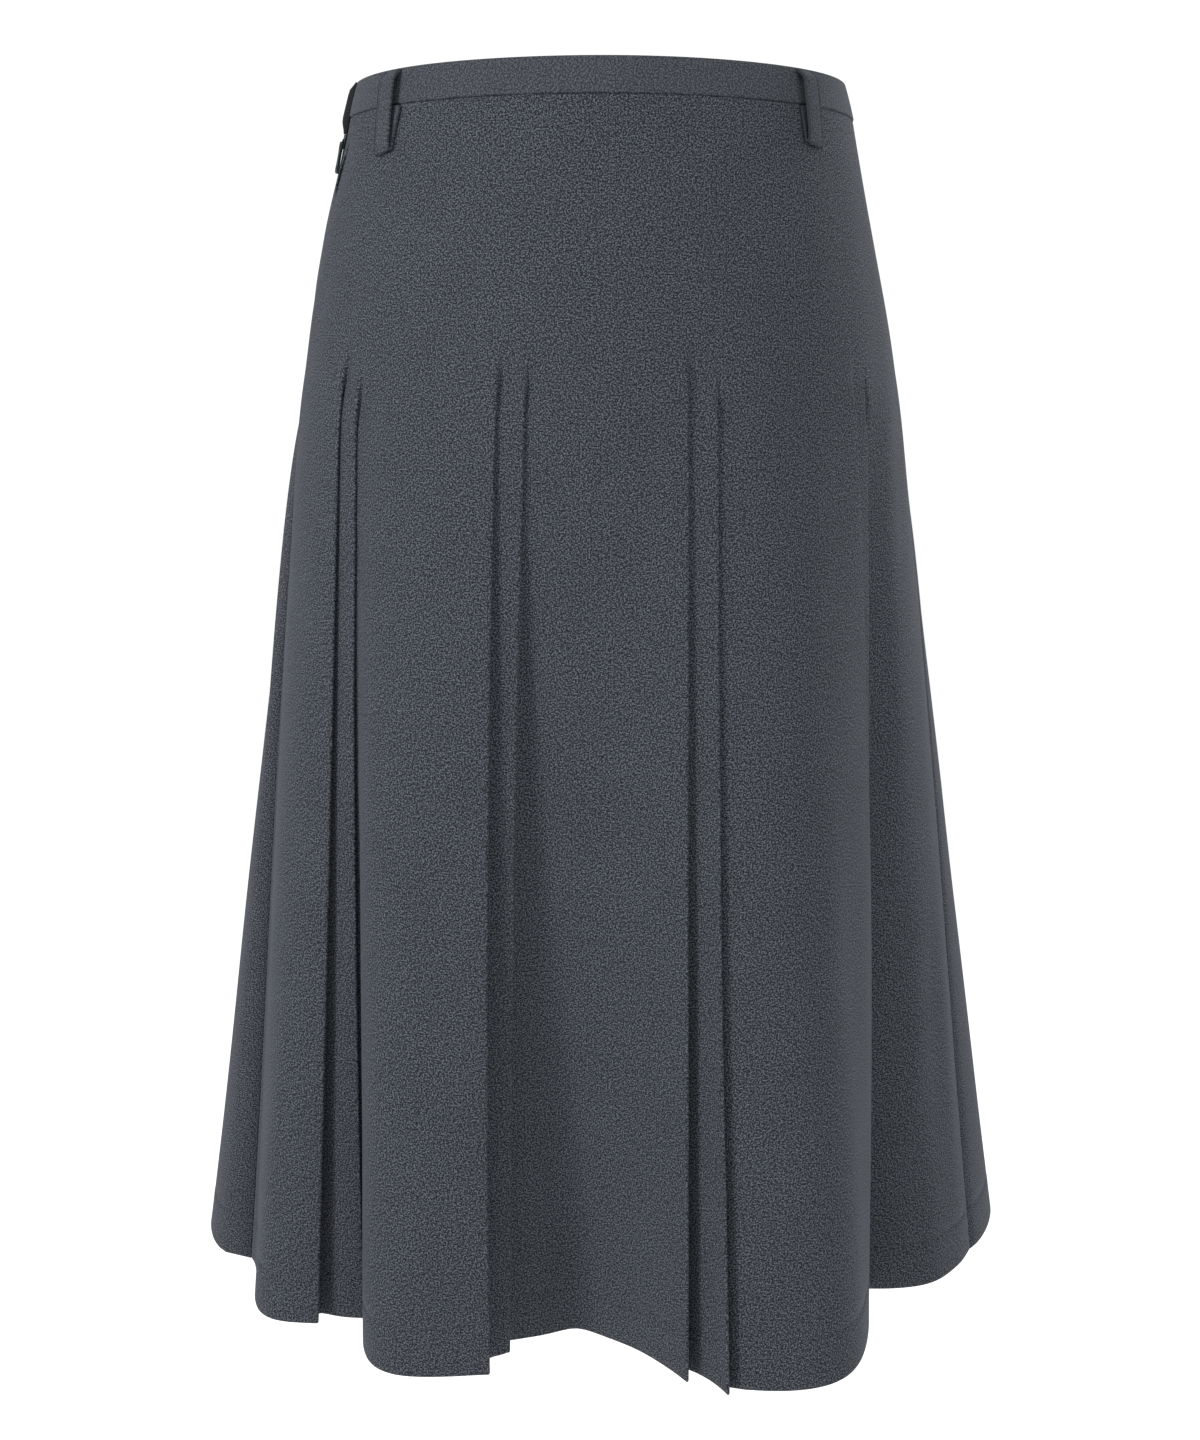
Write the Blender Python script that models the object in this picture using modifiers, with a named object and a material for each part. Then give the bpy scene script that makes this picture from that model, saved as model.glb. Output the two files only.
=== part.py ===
"""Pleated midi skirt, in the form it takes when worn.

Metres, +Z up, front towards -Y, left and right as seen from the front (left is -X).
The origin is the centre of the waist opening, level with the waistband's top edge.
Every sheet of cloth is a grid bent to its place, then given its wall by Solidify.
"""
import math

import bmesh
import bpy
from mathutils import Matrix, Vector

# ---------------------------------------------------------------- driving sizes
LENGTH = 0.710            # waistband top to hem
BAND = 0.0195             # waistband height
SEAM_GAP = 0.0004         # air between two sewn pieces
CLOTH = 0.0010            # skirt cloth, wall thickness
BAND_CLOTH = 0.0024       # waistband, cloth doubled over
FOLD_R = 0.0009           # radius of a pressed fold, to the middle of the cloth
TUCK_START = 0.0010       # depth of a pleat's under layer where it is released
FOLD_RUN = 0.045          # height over which a pleat turns from flat to folded
BLEND = 0.024             # cloth beside a fold that lifts or sinks with it
HIP_Z = -0.162            # level of the hip
BEND_RUN = 0.045          # softness of the bend at the hip

# half widths and half depths of the rounded sections (side, front, back)
TOP = (0.1425, 0.0970, 0.0970)
SEAM = (0.1480, 0.1010, 0.1010)
HIP = (0.1790, 0.1250, 0.1290)

SKIRT_TOP = -(BAND + SEAM_GAP)
ROWS = (-0.055, -0.090, -0.114, -0.126, -0.138, -0.150, -0.162, -0.174, -0.186,
        -0.200, -0.216, -0.245, -0.320, -0.440, -0.580, -LENGTH)

# Side seams: angle round the body (degrees, 0 at the front, +90 at the right)
SEAM_AT = {"left": (-75.5, -90.0), "right": (88.0, 90.0)}      # at the waist, at the hip

# Pleats. hip: angle at the hip; start: level where it is released;
# tuck: depth of the under layer at the hem; bow: sideways bow at mid height.
PLEAT_COLUMNS = ("hip", "start", "tuck", "bow")
FRONT_PLEATS = (
    (-55.1, -0.116, 0.016, 0.000),
    (-49.7, -0.155, 0.014, -0.003),
    (-18.1, -0.140, 0.017, -0.003),
    (-12.9, -0.146, 0.007, -0.002),
    (15.3, -0.140, 0.015, 0.000),
    (20.7, -0.158, 0.013, -0.0015),
    (52.5, -0.150, 0.013, 0.005),
    (57.5, -0.170, 0.005, 0.003),
)
BACK_PLEATS = (
    (122.5, -0.146, 0.014, 0.002),
    (127.5, -0.158, 0.013, 0.000),
    (161.5, -0.138, 0.016, -0.002),
    (167.0, -0.152, 0.013, 0.001),
    (195.0, -0.142, 0.016, 0.002),
    (200.5, -0.156, 0.012, 0.000),
    (232.0, -0.136, 0.015, -0.003),
    (237.5, -0.150, 0.012, 0.002),
)

# Panels between the pleats, in order round the body. x0, y0, x1, y1: ends of the
# panel at the hem (millimetres); belly: how far it swells between them; peak:
# where it swells most (0 to 1); square: below 1 for a boxier swell; lean: below
# or above 1 to draw its cloth to one side at the hip; columns: grid columns.
PANEL_COLUMNS = ("x0", "y0", "x1", "y1", "belly", "peak", "square", "lean", "columns")
FRONT_PANELS = (
    (-220.5, -80.6, -166.0, -150.8, 22.0, 0.66, 1.0, 1.5, 8),
    (-165.4, -140.6, -139.6, -145.7, 1.5, 0.50, 1.0, 1.0, 1),
    (-135.0, -141.0, -61.7, -199.3, 35.5, 0.45, 1.0, 1.0, 8),
    (-61.9, -183.7, -51.4, -179.0, 0.5, 0.50, 1.0, 1.0, 1),
    (-51.4, -167.5, 48.2, -206.5, -20.5, 0.50, 1.0, 1.0, 8),
    (50.4, -195.7, 69.9, -217.9, -1.7, 0.50, 1.0, 1.0, 1),
    (71.6, -210.9, 161.1, -129.0, 37.5, 0.44, 1.0, 1.0, 8),
    (156.1, -127.3, 159.2, -117.2, 0.0, 0.50, 1.0, 1.0, 1),
    (154.5, -114.7, 236.2, -70.1, 18.0, 0.50, 1.0, 1.0, 7),
)
BACK_PANELS = (
    (236.2, -70.1, 208.5, 101.0, 38.0, 0.43, 1.0, 1.0, 9),
    (200.2, 97.0, 185.0, 118.0, 1.0, 0.50, 1.0, 1.0, 1),
    (179.1, 116.0, 91.2, 194.7, 30.0, 0.45, 1.0, 1.0, 8),
    (87.8, 183.8, 65.0, 187.0, -1.0, 0.50, 1.0, 1.0, 1),
    (62.4, 179.1, -77.8, 208.0, -12.0, 0.45, 1.0, 1.0, 8),
    (-83.4, 200.6, -105.0, 206.0, 1.0, 0.50, 1.0, 1.0, 1),
    (-107.5, 200.2, -202.5, 113.2, 26.0, 0.40, 1.0, 1.0, 8),
    (-195.5, 109.1, -208.5, 90.5, 0.0, 0.50, 1.0, 1.0, 1),
    (-204.4, 85.9, -220.5, -80.6, 44.0, 0.57, 0.4, 1.0, 9),
)

# Side opening with its zip, on the left
ZIP_END = -0.200          # lower end of the zip
ZIP_TAPE = (0.011, 0.0010)        # half width, thickness of the tape behind the seam
OPENING_GAP = 0.0030      # space between the skirt's edges at the slider
CLOSED_GAP = 0.0006       # and where the seam is sewn shut
SLIDER_Z = -0.0330        # middle of the slider
SLIT_HALF = 0.0020        # half width of the tape's slit at the slider
UNDERLAP = 13.0           # degrees by which the back band passes under the front band
UNDER_DEPTH = BAND_CLOTH + 0.0008       # how far in the underlap lies
UNDER_RUN = 7.0           # degrees over which the band steps inwards to it
ZIP_LEVELS = (-0.0225, -0.0400, -0.055, -0.090, -0.114, -0.138, -0.162, -0.186, ZIP_END)

# Slider, in the seam's frame (across, outwards, up the seam): low and high corners
INNER_PLATE = ((-0.0034, -0.0037, -0.0045), (0.0034, -0.0027, 0.0045))
PLATE_TOP = 0.0018        # outer plate's top, from the middle of the cloth
BRIDGE_IN = 0.0036        # underside of the bridge
EYE_HALF = 0.0016         # half length of the eye under the bridge
SHAPE_COLUMNS = ("name", "low", "high")
SLIDER_SHAPES = (
    ("neck", (-0.0008, -0.0033, -0.0030), (0.0008, 0.0014, 0.0030)),
    ("plate", (-0.0025, 0.0010, -0.0040), (0.0025, PLATE_TOP, 0.0040)),
    ("leg_low", (-0.0007, 0.0014, -0.0028), (0.0007, 0.0040, -EYE_HALF)),
    ("leg_high", (-0.0007, 0.0014, EYE_HALF), (0.0007, 0.0040, 0.0028)),
    ("bridge", (-0.00071, BRIDGE_IN, -0.00281), (0.00071, 0.0046, 0.00281)),
)

# Pull tab, hung by its cross bar in the slider's eye
BAR_R = 0.00055
TAB_HALF = 0.0023
TAB_WALL = 0.0009
TAB_LENGTH = 0.0172
WINDOW_HALF = 0.00105
WINDOW_END = 0.0034

# Belt loops: angle round the waist, drop from the waistband's top edge
LOOP_COLUMNS = ("name", "angle", "drop")
LOOPS = (
    ("front_left", -51.8, 0.0450),
    ("front_right", 51.0, 0.0420),
    ("back_left", -140.0, 0.0430),
    ("back_right", 140.0, 0.0440),
)
LOOP_WIDTH = 0.0115
LOOP_CLOTH = 0.0013
LOOP_STAND_OFF = 0.0042
LOOP_TURN_R = 0.0012      # radius of the turn at the foot
LOOP_GAP = 0.0005         # air between the loop and what it lies on
LOOP_STEPS = (0.0, 0.05, 0.12, 0.25, 0.45, 0.65, 0.85)


# ---------------------------------------------------------------- helpers
def table(columns, rows):
    """Each row of a table, with its values by column name."""
    return [dict(zip(columns, row)) for row in rows]


def mix(a, b, t):
    return a + (b - a) * t


def clamp01(t):
    return min(1.0, max(0.0, t))


def smooth(t):
    t = clamp01(t)
    return t * t * (3.0 - 2.0 * t)


def bend(x, run):
    """Zero above, x below, with a soft bend between."""
    if x <= -run:
        return 0.0
    if x >= run:
        return x
    return (x + run) ** 2 / (4.0 * run)


def oval(section, degrees):
    """A point of a rounded section, at an angle counted from the front."""
    side, front, back = section
    angle = math.radians(degrees)
    depth = front if math.cos(angle) > 0.0 else back
    return side * math.sin(angle), -depth * math.cos(angle)


def waist_angle(hip_angle):
    """Angle at the waist of the cloth that hangs at an angle at the hip."""
    left, right = SEAM_AT["left"], SEAM_AT["right"]
    if hip_angle < 0.0:
        return hip_angle * left[0] / left[1]
    if hip_angle < right[1]:
        return hip_angle * right[0] / right[1]
    if hip_angle < 180.0:
        return mix(right[0], 180.0, (hip_angle - right[1]) / (180.0 - right[1]))
    return mix(180.0, 360.0 + left[0], (hip_angle - 180.0) / (180.0 + left[1]))


def hang(top, hip, hem, z):
    """Where cloth lies at level z on its way from waist to hip to hem."""
    above = HIP_Z - SKIRT_TOP
    below = -LENGTH - HIP_Z
    x = HIP_Z - z
    soft = bend(x, BEND_RUN)
    point = []
    for a, b, c in zip(top, hip, hem):
        upper = (b - a) / -above
        lower = (c - b) / -below
        point.append(b + upper * x + (lower - upper) * soft)
    return point


def swell(t, peak, square):
    """Outline of a panel's swell between its two ends, 1 at its peak."""
    power = math.log(0.5) / math.log(peak)
    return max(0.0, math.sin(math.pi * t ** power)) ** square


def fold_section(turn, tuck):
    """A pleat's section (u along the cloth, n outwards) for its turn, 0 flat to pi folded.

    Two arcs of constant length joined by the under layer. Returns its six corner
    points, measured from the outer fold's edge.
    """
    turn = max(turn, 1e-3)
    arc = math.pi * FOLD_R
    radius = arc / turn
    share = turn / math.pi
    flat_half = arc + 0.5 * TUCK_START
    u = -mix(flat_half, FOLD_R, share)
    n = 0.0
    points = [(u, n)]
    for angle in (0.5 * turn, turn):
        points.append((u + radius * math.sin(angle), n - radius * (1.0 - math.cos(angle))))
    u, n = points[-1]
    u += tuck * math.cos(turn)
    n -= tuck * math.sin(turn)
    points.append((u, n))
    for angle in (0.5 * turn, 0.0):
        du = radius * (math.sin(turn) - math.sin(angle))
        dn = radius * (math.cos(angle) - math.cos(turn))
        points.append((u + du, n - dn))
    return points


class Side:
    """Front or back of the skirt: its panels and the pleats between them."""

    def __init__(self, panels, pleats, hip_from, hip_to):
        self.panels = table(PANEL_COLUMNS, panels)
        self.pleats = table(PLEAT_COLUMNS, pleats)
        edges = [hip_from] + [pleat["hip"] for pleat in self.pleats] + [hip_to]
        for index, panel in enumerate(self.panels):
            panel["from"], panel["to"] = edges[index], edges[index + 1]
            panel["before"] = self.pleats[index - 1] if index else None
            panel["after"] = self.pleats[index] if index < len(self.pleats) else None

    def hem(self, panel, t):
        x0, y0 = panel["x0"] / 1000.0, panel["y0"] / 1000.0
        x1, y1 = panel["x1"] / 1000.0, panel["y1"] / 1000.0
        span = math.hypot(x1 - x0, y1 - y0)
        out = panel["belly"] / 1000.0 * swell(t, panel["peak"], panel["square"]) / span
        return mix(x0, x1, t) + (y1 - y0) * out, mix(y0, y1, t) - (x1 - x0) * out

    def base(self, panel, t, z):
        """The panel without the lift of its pleats."""
        share = t ** panel["lean"]
        hip_angle = mix(panel["from"], panel["to"], share)
        top = oval(SEAM, waist_angle(hip_angle))
        x, y = hang(top, oval(HIP, hip_angle), self.hem(panel, t), z)
        drop = clamp01((HIP_Z - z) / (LENGTH + HIP_Z))
        bow = 0.0
        if panel["before"]:
            bow += panel["before"]["bow"] * (1.0 - t)
        if panel["after"]:
            bow += panel["after"]["bow"] * t
        return x + 4.0 * bow * drop * (1.0 - drop), y

    def frame(self, panel, t, z):
        """Point, direction along the cloth and direction outwards."""
        step = 0.004
        x0, y0 = self.base(panel, max(0.0, t - step), z)
        x1, y1 = self.base(panel, min(1.0, t + step), z)
        length = math.hypot(x1 - x0, y1 - y0)
        along = ((x1 - x0) / length, (y1 - y0) / length)
        return self.base(panel, t, z), along, (along[1], -along[0])

    def width(self, panel, z):
        points = [self.base(panel, i / 8.0, z) for i in range(9)]
        return sum(math.dist(a, b) for a, b in zip(points, points[1:]))

    def state(self, pleat, z):
        """Turn, tuck and depth of a pleat at level z."""
        turn = math.pi * smooth((pleat["start"] - z) / FOLD_RUN)
        fall = clamp01((pleat["start"] - z) / (pleat["start"] + LENGTH))
        tuck = mix(TUCK_START, pleat["tuck"], fall)
        return turn, tuck, -fold_section(turn, tuck)[5][1]

    def point(self, panel, t, z):
        """The panel with the lift and sink that its pleats give it."""
        (x, y), along, out = self.frame(panel, t, z)
        hold = 1.0 - clamp01((HIP_Z - z) / (LENGTH + HIP_Z))
        width = self.width(panel, z)
        slide = lift = 0.0
        if panel["before"]:
            turn, tuck, depth = self.state(panel["before"], z)
            near = smooth(1.0 - t * width / BLEND)
            lift -= 2.0 / 3.0 * depth * near * hold
            start = mix(math.pi * FOLD_R + 0.0035, 0.0012, turn / math.pi)
            slide += start * (1.0 - t) * hold
        if panel["after"]:
            turn, tuck, depth = self.state(panel["after"], z)
            near = smooth(1.0 - (1.0 - t) * width / BLEND)
            lift += 1.0 / 3.0 * depth * near * hold
        return x + along[0] * slide + out[0] * lift, y + along[1] * slide + out[1] * lift

    def shifted(self, panel, t, distance, z):
        """A point moved along the cloth from its place."""
        (x, y), along, out = self.frame(panel, t, z)
        return x + along[0] * distance, y + along[1] * distance

    def beside(self, panel, u, n, z):
        """A point u along the cloth from the panel's end and n outwards from it."""
        width = self.width(panel, z)
        t = min(1.0, 1.0 + u / width)
        step = 0.01
        x0, y0 = self.point(panel, max(0.0, t - step), z)
        x1, y1 = self.point(panel, min(1.0, t + step), z)
        length = math.hypot(x1 - x0, y1 - y0)
        along = ((x1 - x0) / length, (y1 - y0) / length)
        x, y = self.point(panel, t, z)
        past = max(0.0, u)
        return x + along[0] * past + along[1] * n, y + along[1] * past - along[0] * n

    def section(self, z, start_gap, end_gap):
        """All the column points at level z, from one side seam to the other."""
        points = []
        for index, panel in enumerate(self.panels):
            for step in range(panel["columns"] + 1):
                points.append(self.point(panel, self.place(panel, step), z))
            if panel["before"] is None:
                points[0] = self.shifted(panel, 0.0, start_gap, z)
            if panel["after"] is None:
                points.append(self.shifted(panel, 1.0, -end_gap, z))
                continue
            pleat = panel["after"]
            turn, tuck, depth = self.state(pleat, z)
            drop = clamp01((HIP_Z - z) / (LENGTH + HIP_Z))
            edge = self.point(panel, 1.0, z)
            under = self.point(self.panels[index + 1], 0.0, z)
            notch = math.dist(edge, under)
            open_by = 0.45 * max(0.0, notch - depth) * drop ** 0.5
            corners = fold_section(turn, tuck)
            for corner, (u, n) in enumerate(corners):
                if corner > 2:
                    n -= open_by
                points.append(self.beside(panel, u, n, z))
        return points

    def place(self, panel, step):
        """Where a grid column stands across its panel, clear of the folds."""
        count = panel["columns"]
        if count == 1:
            return 0.55 * step
        last = 0.90 if panel["after"] else 1.0 - 1.0 / (count + 1)
        return last * step / count


# ---------------------------------------------------------------- scene
for item in list(bpy.data.objects):
    bpy.data.objects.remove(item, do_unlink=True)

collection = bpy.data.collections.new("pleated_midi_skirt")
bpy.context.scene.collection.children.link(collection)
tools = bpy.data.collections.new("cutters")
bpy.context.scene.collection.children.link(tools)


def material(name, colour, roughness, metallic):
    made = bpy.data.materials.new(name)
    made.use_nodes = True
    shader = made.node_tree.nodes["Principled BSDF"]
    shader.inputs["Base Color"].default_value = (*colour, 1.0)
    shader.inputs["Roughness"].default_value = roughness
    shader.inputs["Metallic"].default_value = metallic
    return made


def add_object(name, mesh, made):
    for polygon in mesh.polygons:
        polygon.use_smooth = True
    item = bpy.data.objects.new(name, mesh)
    item.data.materials.append(made)
    collection.objects.link(item)
    return item


def sheet(name, rows, made, wall, skip=()):
    """A grid of cloth through rows of points, given its wall by Solidify.

    skip holds (row, column) cells left out of the grid.
    """
    across, down = len(rows[0]), len(rows)
    form = bmesh.new()
    grid = bmesh.ops.create_grid(form, x_segments=across - 1, y_segments=down - 1, size=0.5)
    form.verts.index_update()
    for vert in grid["verts"]:
        column, row = vert.index % across, vert.index // across
        vert.co = rows[row][column]
    form.faces.ensure_lookup_table()
    gone = [form.faces[row * (across - 1) + column] for row, column in skip]
    bmesh.ops.delete(form, geom=gone, context="FACES")
    bmesh.ops.reverse_faces(form, faces=form.faces)
    mesh = bpy.data.meshes.new(name)
    form.to_mesh(mesh)
    form.free()
    item = add_object(name, mesh, made)
    thick = item.modifiers.new("wall", "SOLIDIFY")
    thick.thickness = wall
    thick.offset = 0.0
    thick.use_even_offset = True
    return item


wool = material("wool", (0.105, 0.118, 0.138), 0.85, 0.0)
metal = material("metal", (0.55, 0.57, 0.55), 0.3, 1.0)
tape = material("tape", (0.07, 0.08, 0.10), 0.8, 0.0)

left_hip, right_hip = SEAM_AT["left"][1], SEAM_AT["right"][1]
front = Side(FRONT_PANELS, FRONT_PLEATS, left_hip, right_hip)
back = Side(BACK_PANELS, BACK_PLEATS, right_hip, 360.0 + left_hip)


def left_gap(z):
    """Space between the skirt's edges at the left seam, open at the slider."""
    top = mix(OPENING_GAP, CLOSED_GAP, smooth((-0.045 - z) / 0.030))
    low = mix(0.0, 0.0010, clamp01((HIP_Z - z) / (LENGTH + HIP_Z)))
    return top + low


def right_gap(z):
    return CLOSED_GAP + 0.0006 * clamp01((HIP_Z - z) / (LENGTH + HIP_Z))


# ---------------------------------------------------------------- skirt front and back
levels = (SKIRT_TOP,) + ROWS
front_rows = []
back_rows = []
for z in levels:
    left_half, right_half = 0.5 * left_gap(z), 0.5 * right_gap(z)
    front_rows.append([(x, y, z) for x, y in front.section(z, left_half, right_half)])
    back_rows.append([(x, y, z) for x, y in back.section(z, right_half, left_half)])
sheet("skirt_front", front_rows, wool, CLOTH)
sheet("skirt_back", back_rows, wool, CLOTH)


# ---------------------------------------------------------------- waistband
def band_point(angle, z, inset):
    """The middle of the waistband's cloth, moved inwards by inset."""
    section = [mix(a, b, -z / BAND) for a, b in zip(TOP, SEAM)]
    x, y = oval(section, angle)
    ahead, behind = oval(section, angle + 0.5), oval(section, angle - 0.5)
    length = math.dist(ahead, behind)
    along = ((ahead[0] - behind[0]) / length, (ahead[1] - behind[1]) / length)
    return x - along[1] * inset, y + along[0] * inset, z


def band(name, angles, insets):
    rows = []
    for z in (0.0, -BAND):
        rows.append([band_point(angle, z, inset) for angle, inset in zip(angles, insets)])
    item = sheet(name, rows, wool, BAND_CLOTH)
    edge = item.modifiers.new("edge", "BEVEL")
    edge.width = 0.0005
    edge.segments = 1
    edge.limit_method = "ANGLE"
    edge.angle_limit = math.radians(60.0)
    return item


def spread(start, end, count):
    return [mix(start, end, i / (count - 1)) for i in range(count)]


left_waist, right_waist = SEAM_AT["left"][0], SEAM_AT["right"][0]
seam_turn = math.degrees(0.5 * SEAM_GAP / SEAM[0])
front_angles = spread(left_waist, right_waist - 4.0 * seam_turn, 34)
band("waistband_front", front_angles, [0.0] * len(front_angles))

opening = 360.0 + left_waist
back_angles = spread(right_waist + 4.0 * seam_turn, opening - UNDER_RUN, 36)
back_angles += spread(opening - 0.75 * UNDER_RUN, opening - 0.1 * UNDER_RUN, 4)
back_angles += spread(opening + 2.0, opening + UNDERLAP, 5)
back_insets = []
for angle in back_angles:
    back_insets.append(UNDER_DEPTH * smooth((angle - opening + UNDER_RUN) / (0.9 * UNDER_RUN)))
band("waistband_back", back_angles, back_insets)


# ---------------------------------------------------------------- belt loops
def hip_angle_of(angle):
    """Angle at the hip of the cloth that starts at an angle at the waist."""
    low, high = left_hip, 360.0 + left_hip
    for step in range(40):
        middle = 0.5 * (low + high)
        if waist_angle(middle) < angle:
            low = middle
        else:
            high = middle
    return low


def belt_loop(name, angle, drop):
    """A strap sewn to the band's top edge, turned back at its foot and sewn in the seam."""
    start = oval(TOP, angle)
    x0, y0, z0 = band_point(angle, 0.0, 0.0)
    x1, y1, z1 = band_point(angle, 0.0, -1.0)
    out = (x1 - x0, y1 - y0)
    top = oval(SEAM, angle)
    hip = oval(HIP, hip_angle_of(angle if angle > left_waist else angle + 360.0))

    def cloth_out(z):
        point = [mix(a, b, (SKIRT_TOP - z) / (SKIRT_TOP - HIP_Z)) for a, b in zip(top, hip)]
        return (point[0] - start[0]) * out[0] + (point[1] - start[1]) * out[1]

    on_band = 0.5 * (BAND_CLOTH + LOOP_CLOTH) + LOOP_GAP
    on_cloth = 0.5 * (CLOTH + LOOP_CLOTH) + LOOP_GAP
    foot = -drop + LOOP_TURN_R + 0.5 * LOOP_CLOTH
    under = cloth_out(foot) + on_cloth
    over = under + 2.0 * LOOP_TURN_R
    path = []
    for t in LOOP_STEPS:
        stand_off = LOOP_STAND_OFF * smooth(t / 0.15) * (1.0 - t) ** 0.7
        path.append((mix(on_band, over, t) + stand_off, mix(-0.0010, foot, t)))
    for i in range(7):
        a = math.pi * i / 6.0
        turned = under + LOOP_TURN_R * (1.0 + math.cos(a))
        path.append((turned, foot - LOOP_TURN_R * math.sin(a)))
    for i in range(1, 4):
        z = mix(foot, SKIRT_TOP - 0.0022, i / 3.0)
        path.append((cloth_out(z) + on_cloth, z))
    rows = []
    for n, z in path:
        row = []
        for side in (-0.5, 0.5):
            u = side * LOOP_WIDTH
            x = start[0] + out[0] * n - out[1] * u
            y = start[1] + out[1] * n + out[0] * u
            row.append((x, y, z))
        rows.append(row)
    return sheet(name, rows, wool, LOOP_CLOTH)


for loop in table(LOOP_COLUMNS, LOOPS):
    belt_loop("belt_loop_" + loop["name"], loop["angle"], loop["drop"])


# ---------------------------------------------------------------- zip
tape_half, tape_wall = ZIP_TAPE
tape_inset = 0.5 * (CLOTH + tape_wall) + 0.0006


def walk(points, distance, inset):
    """A point at a distance along a line of points, and inset to one side of it."""
    for (x0, y0), (x1, y1) in zip(points, points[1:]):
        length = math.hypot(x1 - x0, y1 - y0)
        if distance <= length:
            break
        distance -= length
    along = ((x1 - x0) / length, (y1 - y0) / length)
    return (
        x0 + along[0] * distance - along[1] * inset,
        y0 + along[1] * distance + along[0] * inset,
    )


def zip_row(z, columns):
    """The tape at level z: columns are distances from the seam towards the front."""
    ahead = front.section(z, 0.0, 0.0)
    behind = list(reversed(back.section(z, 0.0, 0.0)))
    row = []
    for u in columns:
        x, y = walk(ahead, u, tape_inset) if u > 0.0 else walk(behind, -u, -tape_inset)
        row.append((x, y, z))
    return row


half_way = 0.5 * tape_half
zip_columns = (-tape_half, -half_way, -SLIT_HALF, SLIT_HALF, half_way, tape_half)
zip_rows = [zip_row(z, zip_columns) for z in ZIP_LEVELS]
sheet("zip", zip_rows, tape, tape_wall, skip=((0, 2),))


# ---------------------------------------------------------------- slider and pull tab
def seam_frame(z):
    """Axes at the seam: against the cloth's run, out of the cloth, up the seam."""
    (x, y), along, out = front.frame(front.panels[0], 0.0, z)
    x_low, y_low = front.base(front.panels[0], 0.0, z - 0.01)
    up = Vector((x - x_low, y - y_low, 0.01)).normalized()
    outwards = up.cross(Vector((-along[0], -along[1], 0.0))).normalized()
    across = outwards.cross(up)
    matrix = Matrix((across, outwards, up)).transposed().to_4x4()
    matrix.translation = Vector((x, y, z))
    return matrix


slider_frame = seam_frame(SLIDER_Z)


def block(name, low, high, frame, home, made):
    """A box between two corners, in a frame's own axes."""
    form = bmesh.new()
    bmesh.ops.create_cube(form, size=1.0)
    for vert in form.verts:
        vert.co = [mix(a, b, c + 0.5) for a, b, c in zip(low, high, vert.co)]
    mesh = bpy.data.meshes.new(name)
    form.to_mesh(mesh)
    form.free()
    item = bpy.data.objects.new(name, mesh)
    item.data.materials.append(made)
    item.matrix_world = frame
    home.objects.link(item)
    if home is tools:
        item.hide_render = True
        item.display_type = "WIRE"
    return item


def combine(item, other, operation):
    step = item.modifiers.new(other.name, "BOOLEAN")
    step.operation = operation
    step.solver = "EXACT"
    step.object = other


def soften(item, width):
    edge = item.modifiers.new("edge", "BEVEL")
    edge.width = width
    edge.segments = 2
    edge.limit_method = "ANGLE"
    edge.angle_limit = math.radians(40.0)


# Slider: a plate inside, a neck, a plate outside and its bridge
slider = block("zip_slider", *INNER_PLATE, slider_frame, collection, metal)
for shape in table(SHAPE_COLUMNS, SLIDER_SHAPES):
    added = block("slider_" + shape["name"], shape["low"], shape["high"],
                  slider_frame, tools, metal)
    combine(slider, added, "UNION")

# Pull tab: turns about its cross bar, which passes under the slider's bridge
bar_at = Vector((0.0, 0.5 * (PLATE_TOP + BRIDGE_IN), -EYE_HALF + 0.0003 + BAR_R))
pull_frame = slider_frame @ Matrix.Translation(bar_at)
half_wall = 0.5 * TAB_WALL
pull = block("zip_pull", (-TAB_HALF, -half_wall, -TAB_LENGTH), (TAB_HALF, half_wall, 0.0),
             pull_frame, collection, metal)
soften(pull, 0.0002)
window = block("pull_window", (-WINDOW_HALF, -0.002, -WINDOW_END), (WINDOW_HALF, 0.002, 0.002),
               pull_frame, tools, metal)
combine(pull, window, "DIFFERENCE")
form = bmesh.new()
bmesh.ops.create_cone(form, cap_ends=True, segments=12, radius1=BAR_R, radius2=BAR_R,
                      depth=2.0 * TAB_HALF - 0.0002,
                      matrix=Matrix.Rotation(math.radians(90.0), 4, "Y"))
bar_mesh = bpy.data.meshes.new("pull_bar")
form.to_mesh(bar_mesh)
form.free()
bar = bpy.data.objects.new("pull_bar", bar_mesh)
bar.data.materials.append(metal)
bar.matrix_world = pull_frame
bar.hide_render = True
bar.display_type = "WIRE"
tools.objects.link(bar)
combine(pull, bar, "UNION")
tools.hide_render = True
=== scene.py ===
import math

import bmesh
import bpy
from mathutils import Matrix, Vector


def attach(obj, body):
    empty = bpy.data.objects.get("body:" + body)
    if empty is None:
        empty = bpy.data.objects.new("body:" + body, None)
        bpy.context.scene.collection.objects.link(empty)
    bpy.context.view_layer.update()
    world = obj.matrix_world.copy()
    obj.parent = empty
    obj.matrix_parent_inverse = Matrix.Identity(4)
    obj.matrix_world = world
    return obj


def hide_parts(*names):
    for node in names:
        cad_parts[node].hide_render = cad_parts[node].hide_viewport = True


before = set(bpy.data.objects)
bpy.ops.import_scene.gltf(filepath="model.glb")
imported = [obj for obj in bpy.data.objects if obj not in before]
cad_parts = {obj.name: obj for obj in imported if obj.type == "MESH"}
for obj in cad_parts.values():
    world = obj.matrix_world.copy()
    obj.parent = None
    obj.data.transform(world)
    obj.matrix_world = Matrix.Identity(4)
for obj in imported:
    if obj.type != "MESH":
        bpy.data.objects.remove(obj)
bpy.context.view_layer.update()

# ---------------------------------------------------------------- camera
# The skirt hangs in the air as on a wearer's waist. The camera stands level with the
# hip, straight ahead, and looks a little down.
camera_data = bpy.data.cameras.new("camera")
camera_data.lens = 39.0
camera = bpy.data.objects.new("camera", camera_data)
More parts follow.
